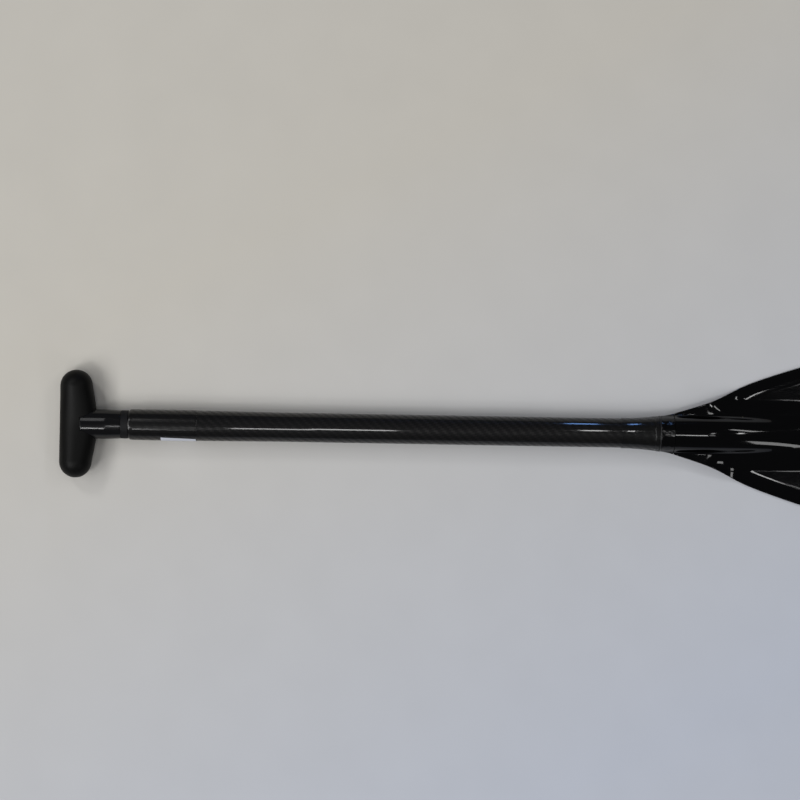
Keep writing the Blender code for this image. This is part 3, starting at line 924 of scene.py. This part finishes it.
@dataclass
class Shaft:
    """The carbon tube, the sleeve at its grip end and the blank sticker on the sleeve."""

    mouth: float = 0.0683
    radius: float = 0.0145
    bore: float = 0.0130
    mouth_chamfer: float = 0.0005
    setback: float = 0.0015
    seat_end: float = 0.1356
    thick_end: float = 0.1531
    taper_end: float = 0.2121
    thick_radius: float = 0.0150
    blade_start: float = 0.6063
    slant_start: float = 0.6323
    slant_length: float = 0.0520
    sleeve_start: float = 0.0698
    sleeve_end: float = 0.1353
    sleeve_bore: float = 0.0148
    sleeve_radius: float = 0.0153
    sleeve_chamfer: float = 0.0032
    sticker_start: float = 0.1004
    sticker_end: float = 0.1349
    sticker_angle: float = 53.0
    sticker_slope: float = 7.0
    sticker_wrap: float = 95.0
    sticker_thickness: float = 0.00012
    sticker_gap: float = 0.00002
    sticker_rows: int = 49
    sticker_columns: int = 65
    corner_depth: float = 0.02
    corner_power: int = 8
    edge_fillet: float = 0.0002
    lip_fillet: float = 0.0001
    seat_fillet: float = 0.0003
    mouth_fillet: float = 0.0040
    thick_fillet: float = 0.0500
    taper_fillet: float = 0.1000
    sides: int = 144
    sharp_deg: float = 30.0

    def make_tube(self) -> None:
        """The tube: a turned profile, out along the outside and back along the bore.

        Past the blade's start both surfaces run on to a slanted end, whose station grows from the top of the
        tube to its underside: slant_start + slant_length * (radius - height) / (2 * radius).
        """
        outside = rounded_profile(
            (
                (self.mouth, self.bore, 0.0),
                (self.mouth, self.radius - self.mouth_chamfer, self.edge_fillet),
                (self.mouth + self.setback, self.radius, 0.0),
                (self.seat_end, self.radius, 0.0),
                (self.seat_end, self.thick_radius, self.seat_fillet),
                (self.thick_end, self.thick_radius, self.thick_fillet),
                (self.taper_end, self.radius, self.taper_fillet),
                (self.blade_start, self.radius, 0.0),
            )
        )
        outer = revolve(outside, self.sides)
        inner = revolve(np.array(((self.blade_start, self.bore), (self.mouth, self.bore))), self.sides)
        ends = []
        for ring in (outer[-1], inner[0]):
            end = self.slant_start + self.slant_length * (self.radius - ring[:, 2]) / (2 * self.radius)
            ends.append(np.column_stack((end, ring[:, 1:])))
        work = Patchwork()
        work.grid(np.concatenate((outer, [ends[0]], [ends[1]], inner[:1])), Lie.ROUND)
        work.grid(inner, Lie.ROUND)
        mesh = work.mesh("carbon_shaft", self.sharp_deg)
        place("carbon_shaft", mesh, CarbonTwill(), ("shaft_tube",))

    def make_sleeve(self) -> None:
        """The sleeve: a thin turned band with a long chamfer at its mouth."""
        lip = (self.sleeve_bore + self.sleeve_radius) / 2
        profile = rounded_profile(
            (
                (self.sleeve_start, self.sleeve_bore, 0.0),
                (self.sleeve_start, lip, self.lip_fillet),
                (self.sleeve_start + self.sleeve_chamfer, self.sleeve_radius, self.mouth_fillet),
                (self.sleeve_end, self.sleeve_radius, self.edge_fillet),
                (self.sleeve_end, self.sleeve_bore, 0.0),
                (self.sleeve_start, self.sleeve_bore, 0.0),
            )
        )
        work = Patchwork()
        work.grid(revolve(profile[:-1], self.sides), Lie.RING)
        mesh = work.mesh("satin_sleeve", self.sharp_deg)
        place("satin_sleeve", mesh, SatinCarbon(), ("socket_sleeve",))

    def make_sticker(self) -> None:
        """The blank sticker: a thin film laid round the underside of the sleeve.

        Its upper edge slopes: its angle from the top of the tube grows evenly along the film. Its lower edge
        draws in close to both ends, by the eighth power of the way from the film's middle.
        """
        along = np.linspace(0.0, 1.0, self.sticker_rows)
        around = np.linspace(0.0, 1.0, self.sticker_columns)
        share, turn = np.meshgrid(along, around, indexing="ij")
        station = self.sticker_start + (self.sticker_end - self.sticker_start) * share
        start = np.radians(self.sticker_angle + self.sticker_slope * share)
        wrap = np.radians(self.sticker_wrap) * (1 - self.corner_depth * (2 * share - 1) ** self.corner_power)
        angle = start + wrap * turn
        layers = []
        for rise in (self.sticker_gap, self.sticker_thickness):
            radius = self.sleeve_radius + rise
            layers.append(np.stack((station, -radius * np.sin(angle), radius * np.cos(angle)), axis=-1))
        under, over = layers
        work = Patchwork()
        work.grid(over, Lie.OPEN)
        work.grid(under, Lie.OPEN)
        for end in (0, -1):
            work.grid(np.stack((over[end], under[end])), Lie.OPEN)
            work.grid(np.stack((over[:, end], under[:, end])), Lie.OPEN)
        place("blank_sticker", work.mesh("blank_sticker", self.sharp_deg), BlankVinyl())

    def make(self) -> None:
        """Make the shaft's pieces."""
        self.make_tube()
        self.make_sleeve()
        self.make_sticker()


# The blade

def smooth_step(value: np.ndarray) -> np.ndarray:
    """Ease from 0 to 1 as the value goes from 0 to 1: v * v * (3 - 2 v)."""
    value = np.clip(value, 0.0, 1.0)
    return value * value * (3 - 2 * value)


def smooth_max(first: np.ndarray, second: np.ndarray, fillet: float) -> np.ndarray:
    """The higher of two heights, with a parabola of that width where they cross."""
    share = np.clip(0.5 + 0.5 * (first - second) / fillet, 0.0, 1.0)
    return second + (first - second) * share + fillet * share * (1 - share)


@dataclass
class BladeForm:
    """Outline, back and face of the blade as formulas of the station and of the place across."""

    start: float = 0.6063
    collar_length: float = 0.0127
    collar_groove: float = 0.0004
    length: float = 0.4750
    width: float = 0.1900
    widest: float = 0.3000
    squareness: float = 2.5
    skin: float = 0.0012
    bond: float = 0.0003
    core: float = 0.0040
    edge_taper: float = 0.0160
    side_rise: float = 0.0017
    neck_fade: float = 0.0400
    drop_start: float = 0.0300
    drop_length: float = 0.0400
    spine_radius: float = 0.0160
    spine_half_width: float = 0.0170
    flank_angle: float = 66.0
    flank_power: float = 1.6
    spine_fillet: float = 0.0035
    spine_fade: float = 0.1500
    spine_narrowing: float = 0.25
    skirt_start: float = 0.0165
    skirt_width: float = 0.0190
    start_slope: float = 0.20
    throat_shares: tuple[float, ...] = (0.0, 0.064, 0.128, 0.192, 0.256, 0.319, 0.383, 0.607, 1.0)
    throat_growth: tuple[float, ...] = (0.0, 0.062, 0.144, 0.248, 0.378, 0.482, 0.571, 0.831, 1.0)
    throat_crowding: float = 1.5
    outline_throat_rows: int = 240
    outline_tip_rows: int = 120
    least_share: float = 1e-6
    chunks: int = 24

    def __post_init__(self) -> None:
        """Work out the spline's slopes and the fine outline that edge distances are measured to."""
        self.collar_start = self.start - self.collar_groove - self.collar_length
        self.tip = self.start + self.length
        self.drop_station = self.start + self.drop_start
        self.neck = self.spine_radius + self.side_rise
        self.face = -self.spine_radius
        self.flange = 2 * self.skin + self.bond
        self.seam_drop = self.spine_radius - self.flange / 2
        xs, ys = np.array(self.throat_shares), np.array(self.throat_growth)
        steps = np.diff(xs)
        rises = np.diff(ys) / steps
        matrix, target = np.eye(len(xs)), np.zeros(len(xs))
        target[0] = self.start_slope
        for i in range(1, len(xs) - 1):
            matrix[i, i - 1 : i + 2] = (1 / steps[i - 1], 2 / steps[i - 1] + 2 / steps[i], 1 / steps[i])
            target[i] = 3 * (rises[i - 1] / steps[i - 1] + rises[i] / steps[i])
        self.knots, self.values, self.slopes = xs, ys, np.linalg.solve(matrix, target)
        fine = (self.outline_throat_rows, self.outline_tip_rows)
        self.outline = np.column_stack(self.rows(self.collar_start, *fine))

    def growth(self, share: np.ndarray) -> np.ndarray:
        """Cubic spline through the throat's knots, with the slopes that keep its bend continuous.

        Args:
            share: Way from the collar to the widest station, from 0 to 1.

        Returns:
            Growth of the half width, from 0 to 1.
        """
        share = np.clip(share, 0.0, 1.0)
        i = np.clip(np.searchsorted(self.knots, share, side="right") - 1, 0, len(self.knots) - 2)
        step = np.diff(self.knots)[i]
        t = (share - self.knots[i]) / step
        start = (1 + 2 * t) * (1 - t) ** 2 * self.values[i] + t * (1 - t) ** 2 * step * self.slopes[i]
        end = t * t * (3 - 2 * t) * self.values[i + 1] + t * t * (t - 1) * step * self.slopes[i + 1]
        return start + end

    def half_width(self, station: np.ndarray) -> np.ndarray:
        """Half width: the throat's spline up to the widest station, then a squarish ellipse to the tip.

        Args:
            station: Stations along the blade.

        Returns:
            The half width at each.
        """
        widest = self.start + self.widest
        share = (station - self.collar_start) / (widest - self.collar_start)
        throat = self.neck + (self.width / 2 - self.neck) * self.growth(share)
        past = np.clip((station - widest) / (self.tip - widest), 0.0, 1.0)
        tip = self.width / 2 * (1 - past**self.squareness) ** (1 / self.squareness)
        return np.where(station <= widest, throat, tip)

    def rows(self, start: float, throat_rows: int, tip_rows: int) -> tuple[np.ndarray, np.ndarray]:
        """Points of the half outline, crowded at the throat and round the tip.

        Args:
            start: First station.
            throat_rows: Rows up to the widest station.
            tip_rows: Rows from there to the tip.

        Returns:
            Their stations and their half widths.
        """
        widest = self.start + self.widest
        throat = start + (widest - start) * np.linspace(0.0, 1.0, throat_rows) ** self.throat_crowding
        angle = np.linspace(0.0, math.pi / 2, tip_rows + 1)[1:]
        power = 2 / self.squareness
        tip = widest + (self.tip - widest) * np.sin(angle) ** power
        tip_width = self.width / 2 * np.clip(np.cos(angle), 0.0, 1.0) ** power
        tip_width[-1] = 0.0
        return np.concatenate((throat, tip)), np.concatenate((self.half_width(throat), tip_width))

    def edge_distance(self, station: np.ndarray, across: np.ndarray) -> np.ndarray:
        """Distance in plan to the outline, measured to the two stretches beside its nearest point.

        Args:
            station: Stations of the points.
            across: Their places across.

        Returns:
            The distance of each point.
        """
        spots = np.stack((station.ravel(), np.abs(across).ravel()), axis=1)
        out = []
        for chunk in np.array_split(spots, self.chunks):
            squares = ((chunk[:, None, :] - self.outline[None]) ** 2).sum(axis=-1)
            nearest = squares.argmin(axis=1)
            best = np.full(len(chunk), np.inf)
            for back in (1, 0):
                first = np.clip(nearest - back, 0, len(self.outline) - 2)
                a, b = self.outline[first], self.outline[first + 1]
                run = b - a
                t = np.clip(((chunk - a) * run).sum(axis=1) / (run**2).sum(axis=1), 0.0, 1.0)
                best = np.minimum(best, np.linalg.norm(chunk - a - run * t[:, None], axis=1))
            out.append(best)
        return np.concatenate(out).reshape(station.shape)

    def neck_share(self, station: np.ndarray) -> np.ndarray:
        """How round the section still is, from 1 at the neck to 0 where the wings have grown out."""
        return 1 - smooth_step((station - self.collar_start) / self.neck_fade)

    def drop_share(self, station: np.ndarray) -> np.ndarray:
        """How far the wings have come down, from 0 at the shaft's axis to 1 on the face's plane."""
        return smooth_step((station - self.drop_station) / self.drop_length)

    def seam_gap(self, station: np.ndarray) -> np.ndarray:
        """Height of the back's rim over the seam: edge to edge at the neck, then skin on skin."""
        share = self.neck_share(station)
        return (share * self.bond + (1 - share) * self.flange) / 2

    def spine_share(self, station: np.ndarray) -> np.ndarray:
        """The spine's height along the blade, from 1 over the shaft to 0 where it has faded out."""
        return 1 - smooth_step((station - self.drop_station) / self.spine_fade)

    def ridge(self, station: np.ndarray, across: np.ndarray) -> np.ndarray:
        """Height of the spine over the wings.

        Its crown is half an ellipse, up to where its side is as steep as the flank. The flank runs straight
        on and ends in a fillet. Height, width, flank and fillet shrink along the blade.

        Args:
            station: Stations of the points.
            across: Their places across.

        Returns:
            The height at each point.
        """
        share = np.maximum(self.spine_share(station), self.least_share)
        height = share * (self.spine_radius - self.seam_gap(station))
        half = self.spine_half_width * (1 - self.spine_narrowing * (1 - share))
        slope = math.tan(math.radians(self.flank_angle)) * share**self.flank_power
        steepness = slope * half / height
        reach = half * steepness / np.sqrt(1 + steepness**2)
        aside = np.abs(across)
        crown = height * np.sqrt(1 - (np.minimum(aside, reach) / half) ** 2)
        return smooth_max(crown - slope * np.maximum(aside - reach, 0.0), 0.0, self.spine_fillet * share)

    def back(self, station: np.ndarray, across: np.ndarray, angle: np.ndarray) -> np.ndarray:
        """Height of the back over the shaft's axis.

        The wings thicken from their rim by 1 - (1 - d) ** 2, with d the share of the edge's taper, and drop
        from the axis to the face's plane. The spine comes down later, and a skirt beside it makes up the
        difference. At the neck the spine's sides round down to the seam.

        Args:
            station: Stations of the points.
            across: Their places across.
            angle: The same places as angles, up to a right angle at the rim.

        Returns:
            The height at each point.
        """
        taper = 1 - np.clip(self.edge_distance(station, across) / self.edge_taper, 0.0, 1.0)
        most = self.core + self.bond
        drop = self.drop_share(station)
        lag = (drop + self.spine_share(station) - 1) * (self.seam_drop - most)
        skirt = lag * (1 - smooth_step((np.abs(across) - self.skirt_start) / self.skirt_width))
        wing = self.seam_gap(station) + drop * (most * (1 - taper**2) - self.seam_drop) + skirt
        edge = self.ridge(station, self.half_width(station))
        rounding = np.clip(2 * np.abs(angle) / (math.pi / 2) - 1, 0.0, 1.0)
        return wing + self.ridge(station, across) - edge * (1 - np.sqrt(1 - rounding**2))

    def under(self, station: np.ndarray, angle: np.ndarray) -> np.ndarray:
        """Height of the power face over the shaft's axis: half round at the neck, a keel, then flat.

        Args:
            station: Stations of the points.
            angle: Their places across as angles, up to a right angle at the rim.

        Returns:
            The height at each point.
        """
        neck = self.neck_share(station)
        rim = -self.seam_gap(station) - self.drop_share(station) * self.seam_drop
        return self.face + (rim - self.face) * (neck * (1 - np.cos(angle)) + (1 - neck) * np.sin(angle) ** 2)


@dataclass
class Blade:
    """The blade's two skins, its collar, and the bead and wrap that join it to the shaft."""

    form: BladeForm = field(default_factory=BladeForm)
    shaft_bore: float = 0.0148
    flare_start: float = 0.5541
    flare_length: float = 0.0375
    flare_edge: float = 0.0002
    lip_length: float = 0.0045
    lip_rise: float = 0.0003
    bead_start: float = 0.5919
    bead_length: float = 0.0010
    bead_corner: float = 0.00025
    collar_corner: float = 0.0003
    rim: float = 0.0010
    neck_rim: float = 0.00005
    rim_share: float = 0.8
    seam_round: float = 0.00015
    column_crowding: float = 1.4
    throat_rows: int = 180
    tip_rows: int = 80
    wide_columns: int = 241
    hidden_columns: int = 41
    rim_steps: int = 6
    contour_points: int = 64
    corner_rows: int = 5
    bead_rows: int = 5
    collar_rows: int = 40
    flare_rows: int = 49
    lip_rows: int = 19
    sharp_deg: float = 50.0

    def column_angles(self, count: int) -> np.ndarray:
        """Places across a section as an angle up to a right angle, crowded over the spine."""
        shares = np.linspace(-1.0, 1.0, count)
        return np.sign(shares) * np.abs(shares) ** self.column_crowding * math.pi / 2

    def make_skin(self, side: Side) -> None:
        """One skin of the blade as a closed shell.

        Each row is a loop: the outer surface, the rim, the inner surface and the other rim. Points across
        are half width * sin(angle). The rim is a quarter circle drawn out along the outline's normal, so it
        also runs round the tip, where the last row closes to one line.

        Args:
            side: Which skin to make.
        """
        form = self.form
        outer_count = self.wide_columns if side is Side.BACK else self.wide_columns // 2 + 1
        stations, widths = form.rows(form.start, self.throat_rows, self.tip_rows)
        run = np.stack((-np.gradient(widths), np.gradient(stations)), axis=1)
        normal = run / np.linalg.norm(run, axis=1, keepdims=True)
        normal[-1] = (1.0, 0.0)
        flat = 1 - form.neck_share(stations)
        rim = (flat * (self.rim - self.neck_rim) + self.neck_rim)[:, None]
        seam = (flat * self.seam_round)[:, None]
        edge = np.stack((stations, widths), axis=1)

        def level(outline: np.ndarray, angles: np.ndarray, inner: bool) -> np.ndarray:
            """Points of the outer or inner surface on an outline drawn in from the blade's own.

            Args:
                outline: Stations and half widths.
                angles: Places across, as angles.
                inner: Whether the points lie inside the skin.

            Returns:
                Rows by columns of points.
            """
            angle = np.repeat(angles[None], len(outline), axis=0)
            station = np.repeat(outline[:, :1], len(angles), axis=1)
            across = np.maximum(outline[:, 1:], 0.0) * np.sin(angle)
            if side is Side.BACK:
                height = form.back(station, across, angle)
            else:
                height = form.under(station, angle)
            if inner:
                neck = form.neck_share(station)
                height = height - side.value * form.skin * (neck * np.cos(angle) + 1 - neck)
                across = across - form.skin * neck * np.sin(angle)
            return np.stack((station, across, height), axis=-1)

        outer = level(edge - normal * rim, self.column_angles(outer_count), False)
        inner = level(edge - normal * seam, self.column_angles(self.hidden_columns)[::-1], True)
        turn = np.linspace(0.0, math.pi / 2, self.rim_steps + 1)[1:]
        drop = np.minimum(rim[:, 0], self.rim_share * np.abs(outer[:, -1, 2] - inner[:, 0, 2]))
        reach = rim * (1 - np.sin(turn))
        rims = []
        for sign in (1.0, -1.0):
            plan = edge[:, None, :] - normal[:, None, :] * reach[..., None]
            height = outer[:, -1:, 2] - side.value * drop[:, None] * (1 - np.cos(turn))
            arc = np.stack((plan[..., 0], sign * plan[..., 1], height), axis=-1)
            last = inner[:, 0] if sign > 0 else inner[:, -1]
            away = np.stack((normal[:, 0], sign * normal[:, 1], np.full(len(last), side.value)), axis=1)
            foot = last + away * seam
            rims.append(np.concatenate((arc, foot[:, None]), axis=1))
        rows = np.concatenate((outer, rims[0], inner, rims[1][:, ::-1]), axis=1)
        rows[-1, :, 1] = 0.0
        work = Patchwork()
        work.grid(rows, Lie.ROUND)
        self.close_end(work, outer_count, rows.shape[1])
        name = f"blade_{side.name.lower()}_gelcoat"
        node = f"blade_{side.name.lower()}_shell"
        place(name, work.mesh(name, self.sharp_deg), BlackGelcoat(), (node,))

    def close_end(self, work: Patchwork, outer_count: int, total: int) -> None:
        """Fill the shell's end at the collar with faces from outer to inner points and one at each rim.

        Args:
            work: The shell's surfaces.
            outer_count: Points of the outer surface in the first row.
            total: Points of the whole row.
        """
        step = (outer_count - 1) // (self.hidden_columns - 1)
        inner_first = outer_count + self.rim_steps + 1
        for j in range(self.hidden_columns - 1):
            upper = [outer_count - 1 - j * step - k for k in range(step + 1)]
            work.fill(upper + [inner_first + j + 1, inner_first + j])
        work.fill(list(range(outer_count - 1, inner_first + 1)))
        work.fill(list(range(inner_first + self.hidden_columns - 1, total)) + [0])

    def contour(self, station: float) -> np.ndarray:
        """The neck's closed section, from one side over the top.

        Args:
            station: Station of the section.

        Returns:
            Places across and heights.
        """
        angle = np.linspace(math.pi / 2, -math.pi / 2, self.contour_points)
        stations = np.full(self.contour_points, station)
        across = self.form.half_width(stations) * np.sin(angle)
        upper = np.stack((across, self.form.back(stations, across, angle)), axis=1)
        lower = np.stack((across, self.form.under(stations, angle)), axis=1)[::-1]
        return np.concatenate((upper, lower))

    def sleeve(self, name: str, sections: Sequence[np.ndarray], finish: Finish, node: str) -> None:
        """A closed piece round the shaft: sections along the outside, then back along a round bore.

        Args:
            name: Name of the piece.
            sections: Its outer sections, one after another.
            finish: Its finish.
            node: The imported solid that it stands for.
        """
        rings = list(sections)
        for section in (sections[-1], sections[0]):
            flat = section[:, 1:] / np.linalg.norm(section[:, 1:], axis=1, keepdims=True)
            rings.append(np.column_stack((section[:, 0], flat * self.shaft_bore)))
        work = Patchwork()
        work.grid(np.stack(rings), Lie.RING)
        place(name, work.mesh(name, self.sharp_deg), finish, (node,))

    def ring_sections(self, start: float, length: float, rows: int, corner: float) -> list[np.ndarray]:
        """Sections of a slice of the neck, drawn in at both ends by a quarter circle.

        Args:
            start: Station of the slice's start.
            length: Its length.
            rows: Rows between its ends, with the two at the ends.
            corner: Radius of the quarter circle.

        Returns:
            The sections as points.
        """
        ends = corner * (1 - np.cos(np.linspace(0.0, math.pi / 2, self.corner_rows)))
        middle = np.linspace(start + corner, start + length - corner, rows)[1:-1]
        stations = np.concatenate((start + ends, middle, start + length - ends[::-1]))
        nearest = np.minimum(stations - start, start + length - stations)
        drop = corner - np.sqrt(np.maximum(corner**2 - np.maximum(corner - nearest, 0.0) ** 2, 0.0))
        sections = []
        for station, depth in zip(stations, drop):
            contour = self.contour(station)
            reach = np.linalg.norm(contour, axis=1, keepdims=True)
            contour = contour * (1 - depth / reach)
            sections.append(np.column_stack((np.full(len(contour), station), contour)))
        return sections

    def make_flare(self) -> None:
        """The wrap: a circle on the shaft that grows into the neck's section by the square of the way.

        Near its end a low lip rises by a smooth step and rounds off.
        """
        neck = self.contour(self.form.collar_start)
        circle = neck / np.linalg.norm(neck, axis=1, keepdims=True) * (self.shaft_bore + self.flare_edge)
        end = self.flare_start + self.flare_length
        lip = end - self.lip_length
        slope = np.linspace(self.flare_start, lip, self.flare_rows)
        stations = np.concatenate((slope, np.linspace(lip, end, self.lip_rows)[1:]))
        sections = []
        for station in stations:
            share = (station - self.flare_start) / self.flare_length
            blended = circle + (neck - circle) * share**2
            rise = 0.0
            if station > lip:
                up = smooth_step(np.array((station - lip) / (2 * self.lip_rise)))
                fall = max(0.0, station - end + self.lip_rise) / self.lip_rise
                rise = self.lip_rise * (float(up) - 1 - (1 - math.sqrt(max(0.0, 1 - fall**2))))
            reach = np.linalg.norm(blended, axis=1, keepdims=True)
            sections.append(np.column_stack((np.full(len(neck), station), blended * (1 + rise / reach))))
        self.sleeve("joint_wrap", sections, HandLaidWrap(), "joint_flare")

    def make(self) -> None:
        """Make the blade's pieces from the shaft outwards."""
        form = self.form
        self.make_flare()
        bead = self.ring_sections(self.bead_start, self.bead_length, self.bead_rows, self.bead_corner)
        self.sleeve("seam_bead", bead, FilletEpoxy(), "joint_bead")
        band = (form.collar_start, form.collar_length, self.collar_rows, self.collar_corner)
        collar = self.ring_sections(*band)
        self.sleeve("neck_band", collar, CollarGelcoat(), "neck_collar")
        self.make_skin(Side.BACK)
        self.make_skin(Side.FACE)


# The foam inside

@dataclass
class Foam:
    """The pieces inside the shaft and the blade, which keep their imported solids."""

    nodes: tuple[str, ...] = ("upper_bung", "lower_bung", "blade_core")

    def make(self) -> None:
        """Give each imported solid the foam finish."""
        material = ClosedCellFoam().material()
        for name in self.nodes:
            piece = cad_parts[name]
            piece.data.materials.clear()
            piece.data.materials.append(material)
            LOG.info("%s: foam finish", name)


# The studio

@dataclass
class Lamp:
    """One rectangular lamp, given by the middles of its two ends, that faces a point of the paddle."""

    name: str
    first: Point
    last: Point
    width: float
    strength: float
    colour: str = "#ffffff"
    aim: Point = (-0.1, 0.0, 0.0)

    def make(self) -> None:
        """Hang the lamp. Its power is its strength, the brightness of its face, times four times its area."""
        first, last = Vector(self.first), Vector(self.last)
        middle = (first + last) / 2
        along = last - first
        data = bpy.data.lights.new(self.name, "AREA")
        data.shape = "RECTANGLE"
        data.size = along.length
        data.size_y = self.width
        data.energy = self.strength * 4 * data.size * data.size_y
        data.color = linear(self.colour)[:3]
        along.normalize()
        away = middle - Vector(self.aim)
        away = (away - along * away.dot(along)).normalized()
        lamp = bpy.data.objects.new(self.name, data)
        lamp.location = middle
        lamp.rotation_mode = "QUATERNION"
        lamp.rotation_quaternion = Matrix((along, away.cross(along), away)).transposed().to_quaternion()
        bpy.context.scene.collection.objects.link(lamp)


@dataclass
class Studio:
    """The board, the lamps, the room's light and the camera."""

    camera_place: Point = (-0.2053, 0.0288, 2.616)
    camera_turn: float = 1.0
    camera_view: float = 17.27
    sensor_width: float = 36.0
    board_size: float = 24.0
    board_drop: float = 0.0004
    room_colour: str = "#eef2ff"
    room_strength: float = 0.08
    lamps: tuple[Lamp, ...] = (
        Lamp("key", (-3.31, -1.71, 5.4), (-2.41, -2.61, 5.4), 1.08, 11.4),
        Lamp("fill_near", (-3.94, -4.14, 5.4), (-3.94, -1.80, 5.4), 0.9, 7.5),
        Lamp("fill_far", (-4.57, 4.32, 5.4), (-3.31, 4.32, 5.4), 1.26, 14.0),
        Lamp("wall", (-5.6, -5.4, 5.4), (-5.6, 3.06, 5.4), 1.1, 6.4),
        Lamp("wall_middle", (-4.3, -1.4, 5.4), (-4.3, -0.2, 5.4), 1.0, 5.5),
        Lamp("band_stem", (-1.0, 1.3, 3.0), (-1.0, 3.0, 3.0), 0.26, 2.8),
        Lamp("row_stem", (-1.0, -2.0, 3.0), (-0.86, -2.0, 3.0), 0.45, 24.0),
        Lamp("row_sleeve", (-0.81, -1.6, 3.0), (-0.59, -1.05, 3.0), 0.4, 0.5),
        Lamp("row_shaft", (-0.515, -0.88, 3.0), (-0.395, -0.88, 3.0), 0.4, 14.0),
        Lamp("row_middle", (-0.395, -0.62, 3.0), (-0.215, -0.62, 3.0), 0.4, 16.0),
        Lamp("row_neck", (0.186, 0.80, 3.0), (0.238, 0.80, 3.0), 0.4, 20.0),
        Lamp("row_blade", (0.37, -0.34, 3.0), (0.53, -0.34, 3.0), 0.22, 13.0),
        Lamp("row_crown", (0.60, -0.30, 3.0), (0.80, -0.30, 3.0), 0.2, 5.0),
        Lamp("row_hook", (0.67, 0.14, 3.0), (0.78, 0.48, 3.0), 0.12, 7.0),
        Lamp("row_wing", (1.50, 1.85, 3.0), (2.12, 1.02, 3.0), 0.22, 8.0),
        Lamp("row_spine", (1.60, 0.50, 3.0), (1.77, 0.48, 3.0), 0.3, 16.0),
        Lamp("soft_end", (2.28, -2.0, 3.0), (2.85, -3.8, 3.0), 0.45, 5.5),
        Lamp("window", (0.146, 2.83, 1.0), (0.214, 2.83, 1.0), 0.5, 19.0, "#7fb0ff"),
    )

    def make_board(self) -> None:
        """The board: one flat face just under the paddle."""
        half = self.board_size / 2
        corners = [(-half, -half), (half, -half), (half, half), (-half, half)]
        mesh = bpy.data.meshes.new("board")
        mesh.from_pydata([(x, y, -self.board_drop) for x, y in corners], [], [(0, 1, 2, 3)])
        mesh.materials.append(PaleBoard().material())
        board = bpy.data.objects.new("board", mesh)
        bpy.context.scene.collection.objects.link(board)

    def make_room(self) -> None:
        """Even light from all round."""
        world = bpy.data.worlds.new("room")
        world.use_nodes = True
        background = world.node_tree.nodes["Background"]
        background.inputs["Color"].default_value = linear(self.room_colour)
        background.inputs["Strength"].default_value = self.room_strength
        bpy.context.scene.world = world

    def make_camera(self) -> None:
        """A camera straight above the paddle's grip half, turned by the paddle's slope in the picture."""
        data = bpy.data.cameras.new("camera")
        data.sensor_width = self.sensor_width
        data.lens = self.sensor_width / 2 / math.tan(math.radians(self.camera_view / 2))
        camera = bpy.data.objects.new("camera", data)
        camera.location = self.camera_place
        camera.rotation_euler = (0.0, 0.0, math.radians(self.camera_turn))
        bpy.context.scene.collection.objects.link(camera)
        bpy.context.scene.camera = camera

    def make(self) -> None:
        """Set up the whole studio."""
        self.make_board()
        self.make_room()
        for lamp in self.lamps:
            lamp.make()
        self.make_camera()
        bpy.context.scene.view_settings.view_transform = "Standard"


def main() -> None:
    """Build every sub-assembly in order, then the studio."""
    logging.basicConfig(level=logging.INFO, format="%(name)s: %(message)s")
    for assembly in (Grip(), Shaft(), Blade(), Foam(), Studio()):
        assembly.make()
        LOG.info("%s done", type(assembly).__name__)


if __name__ == "__main__":
    main()
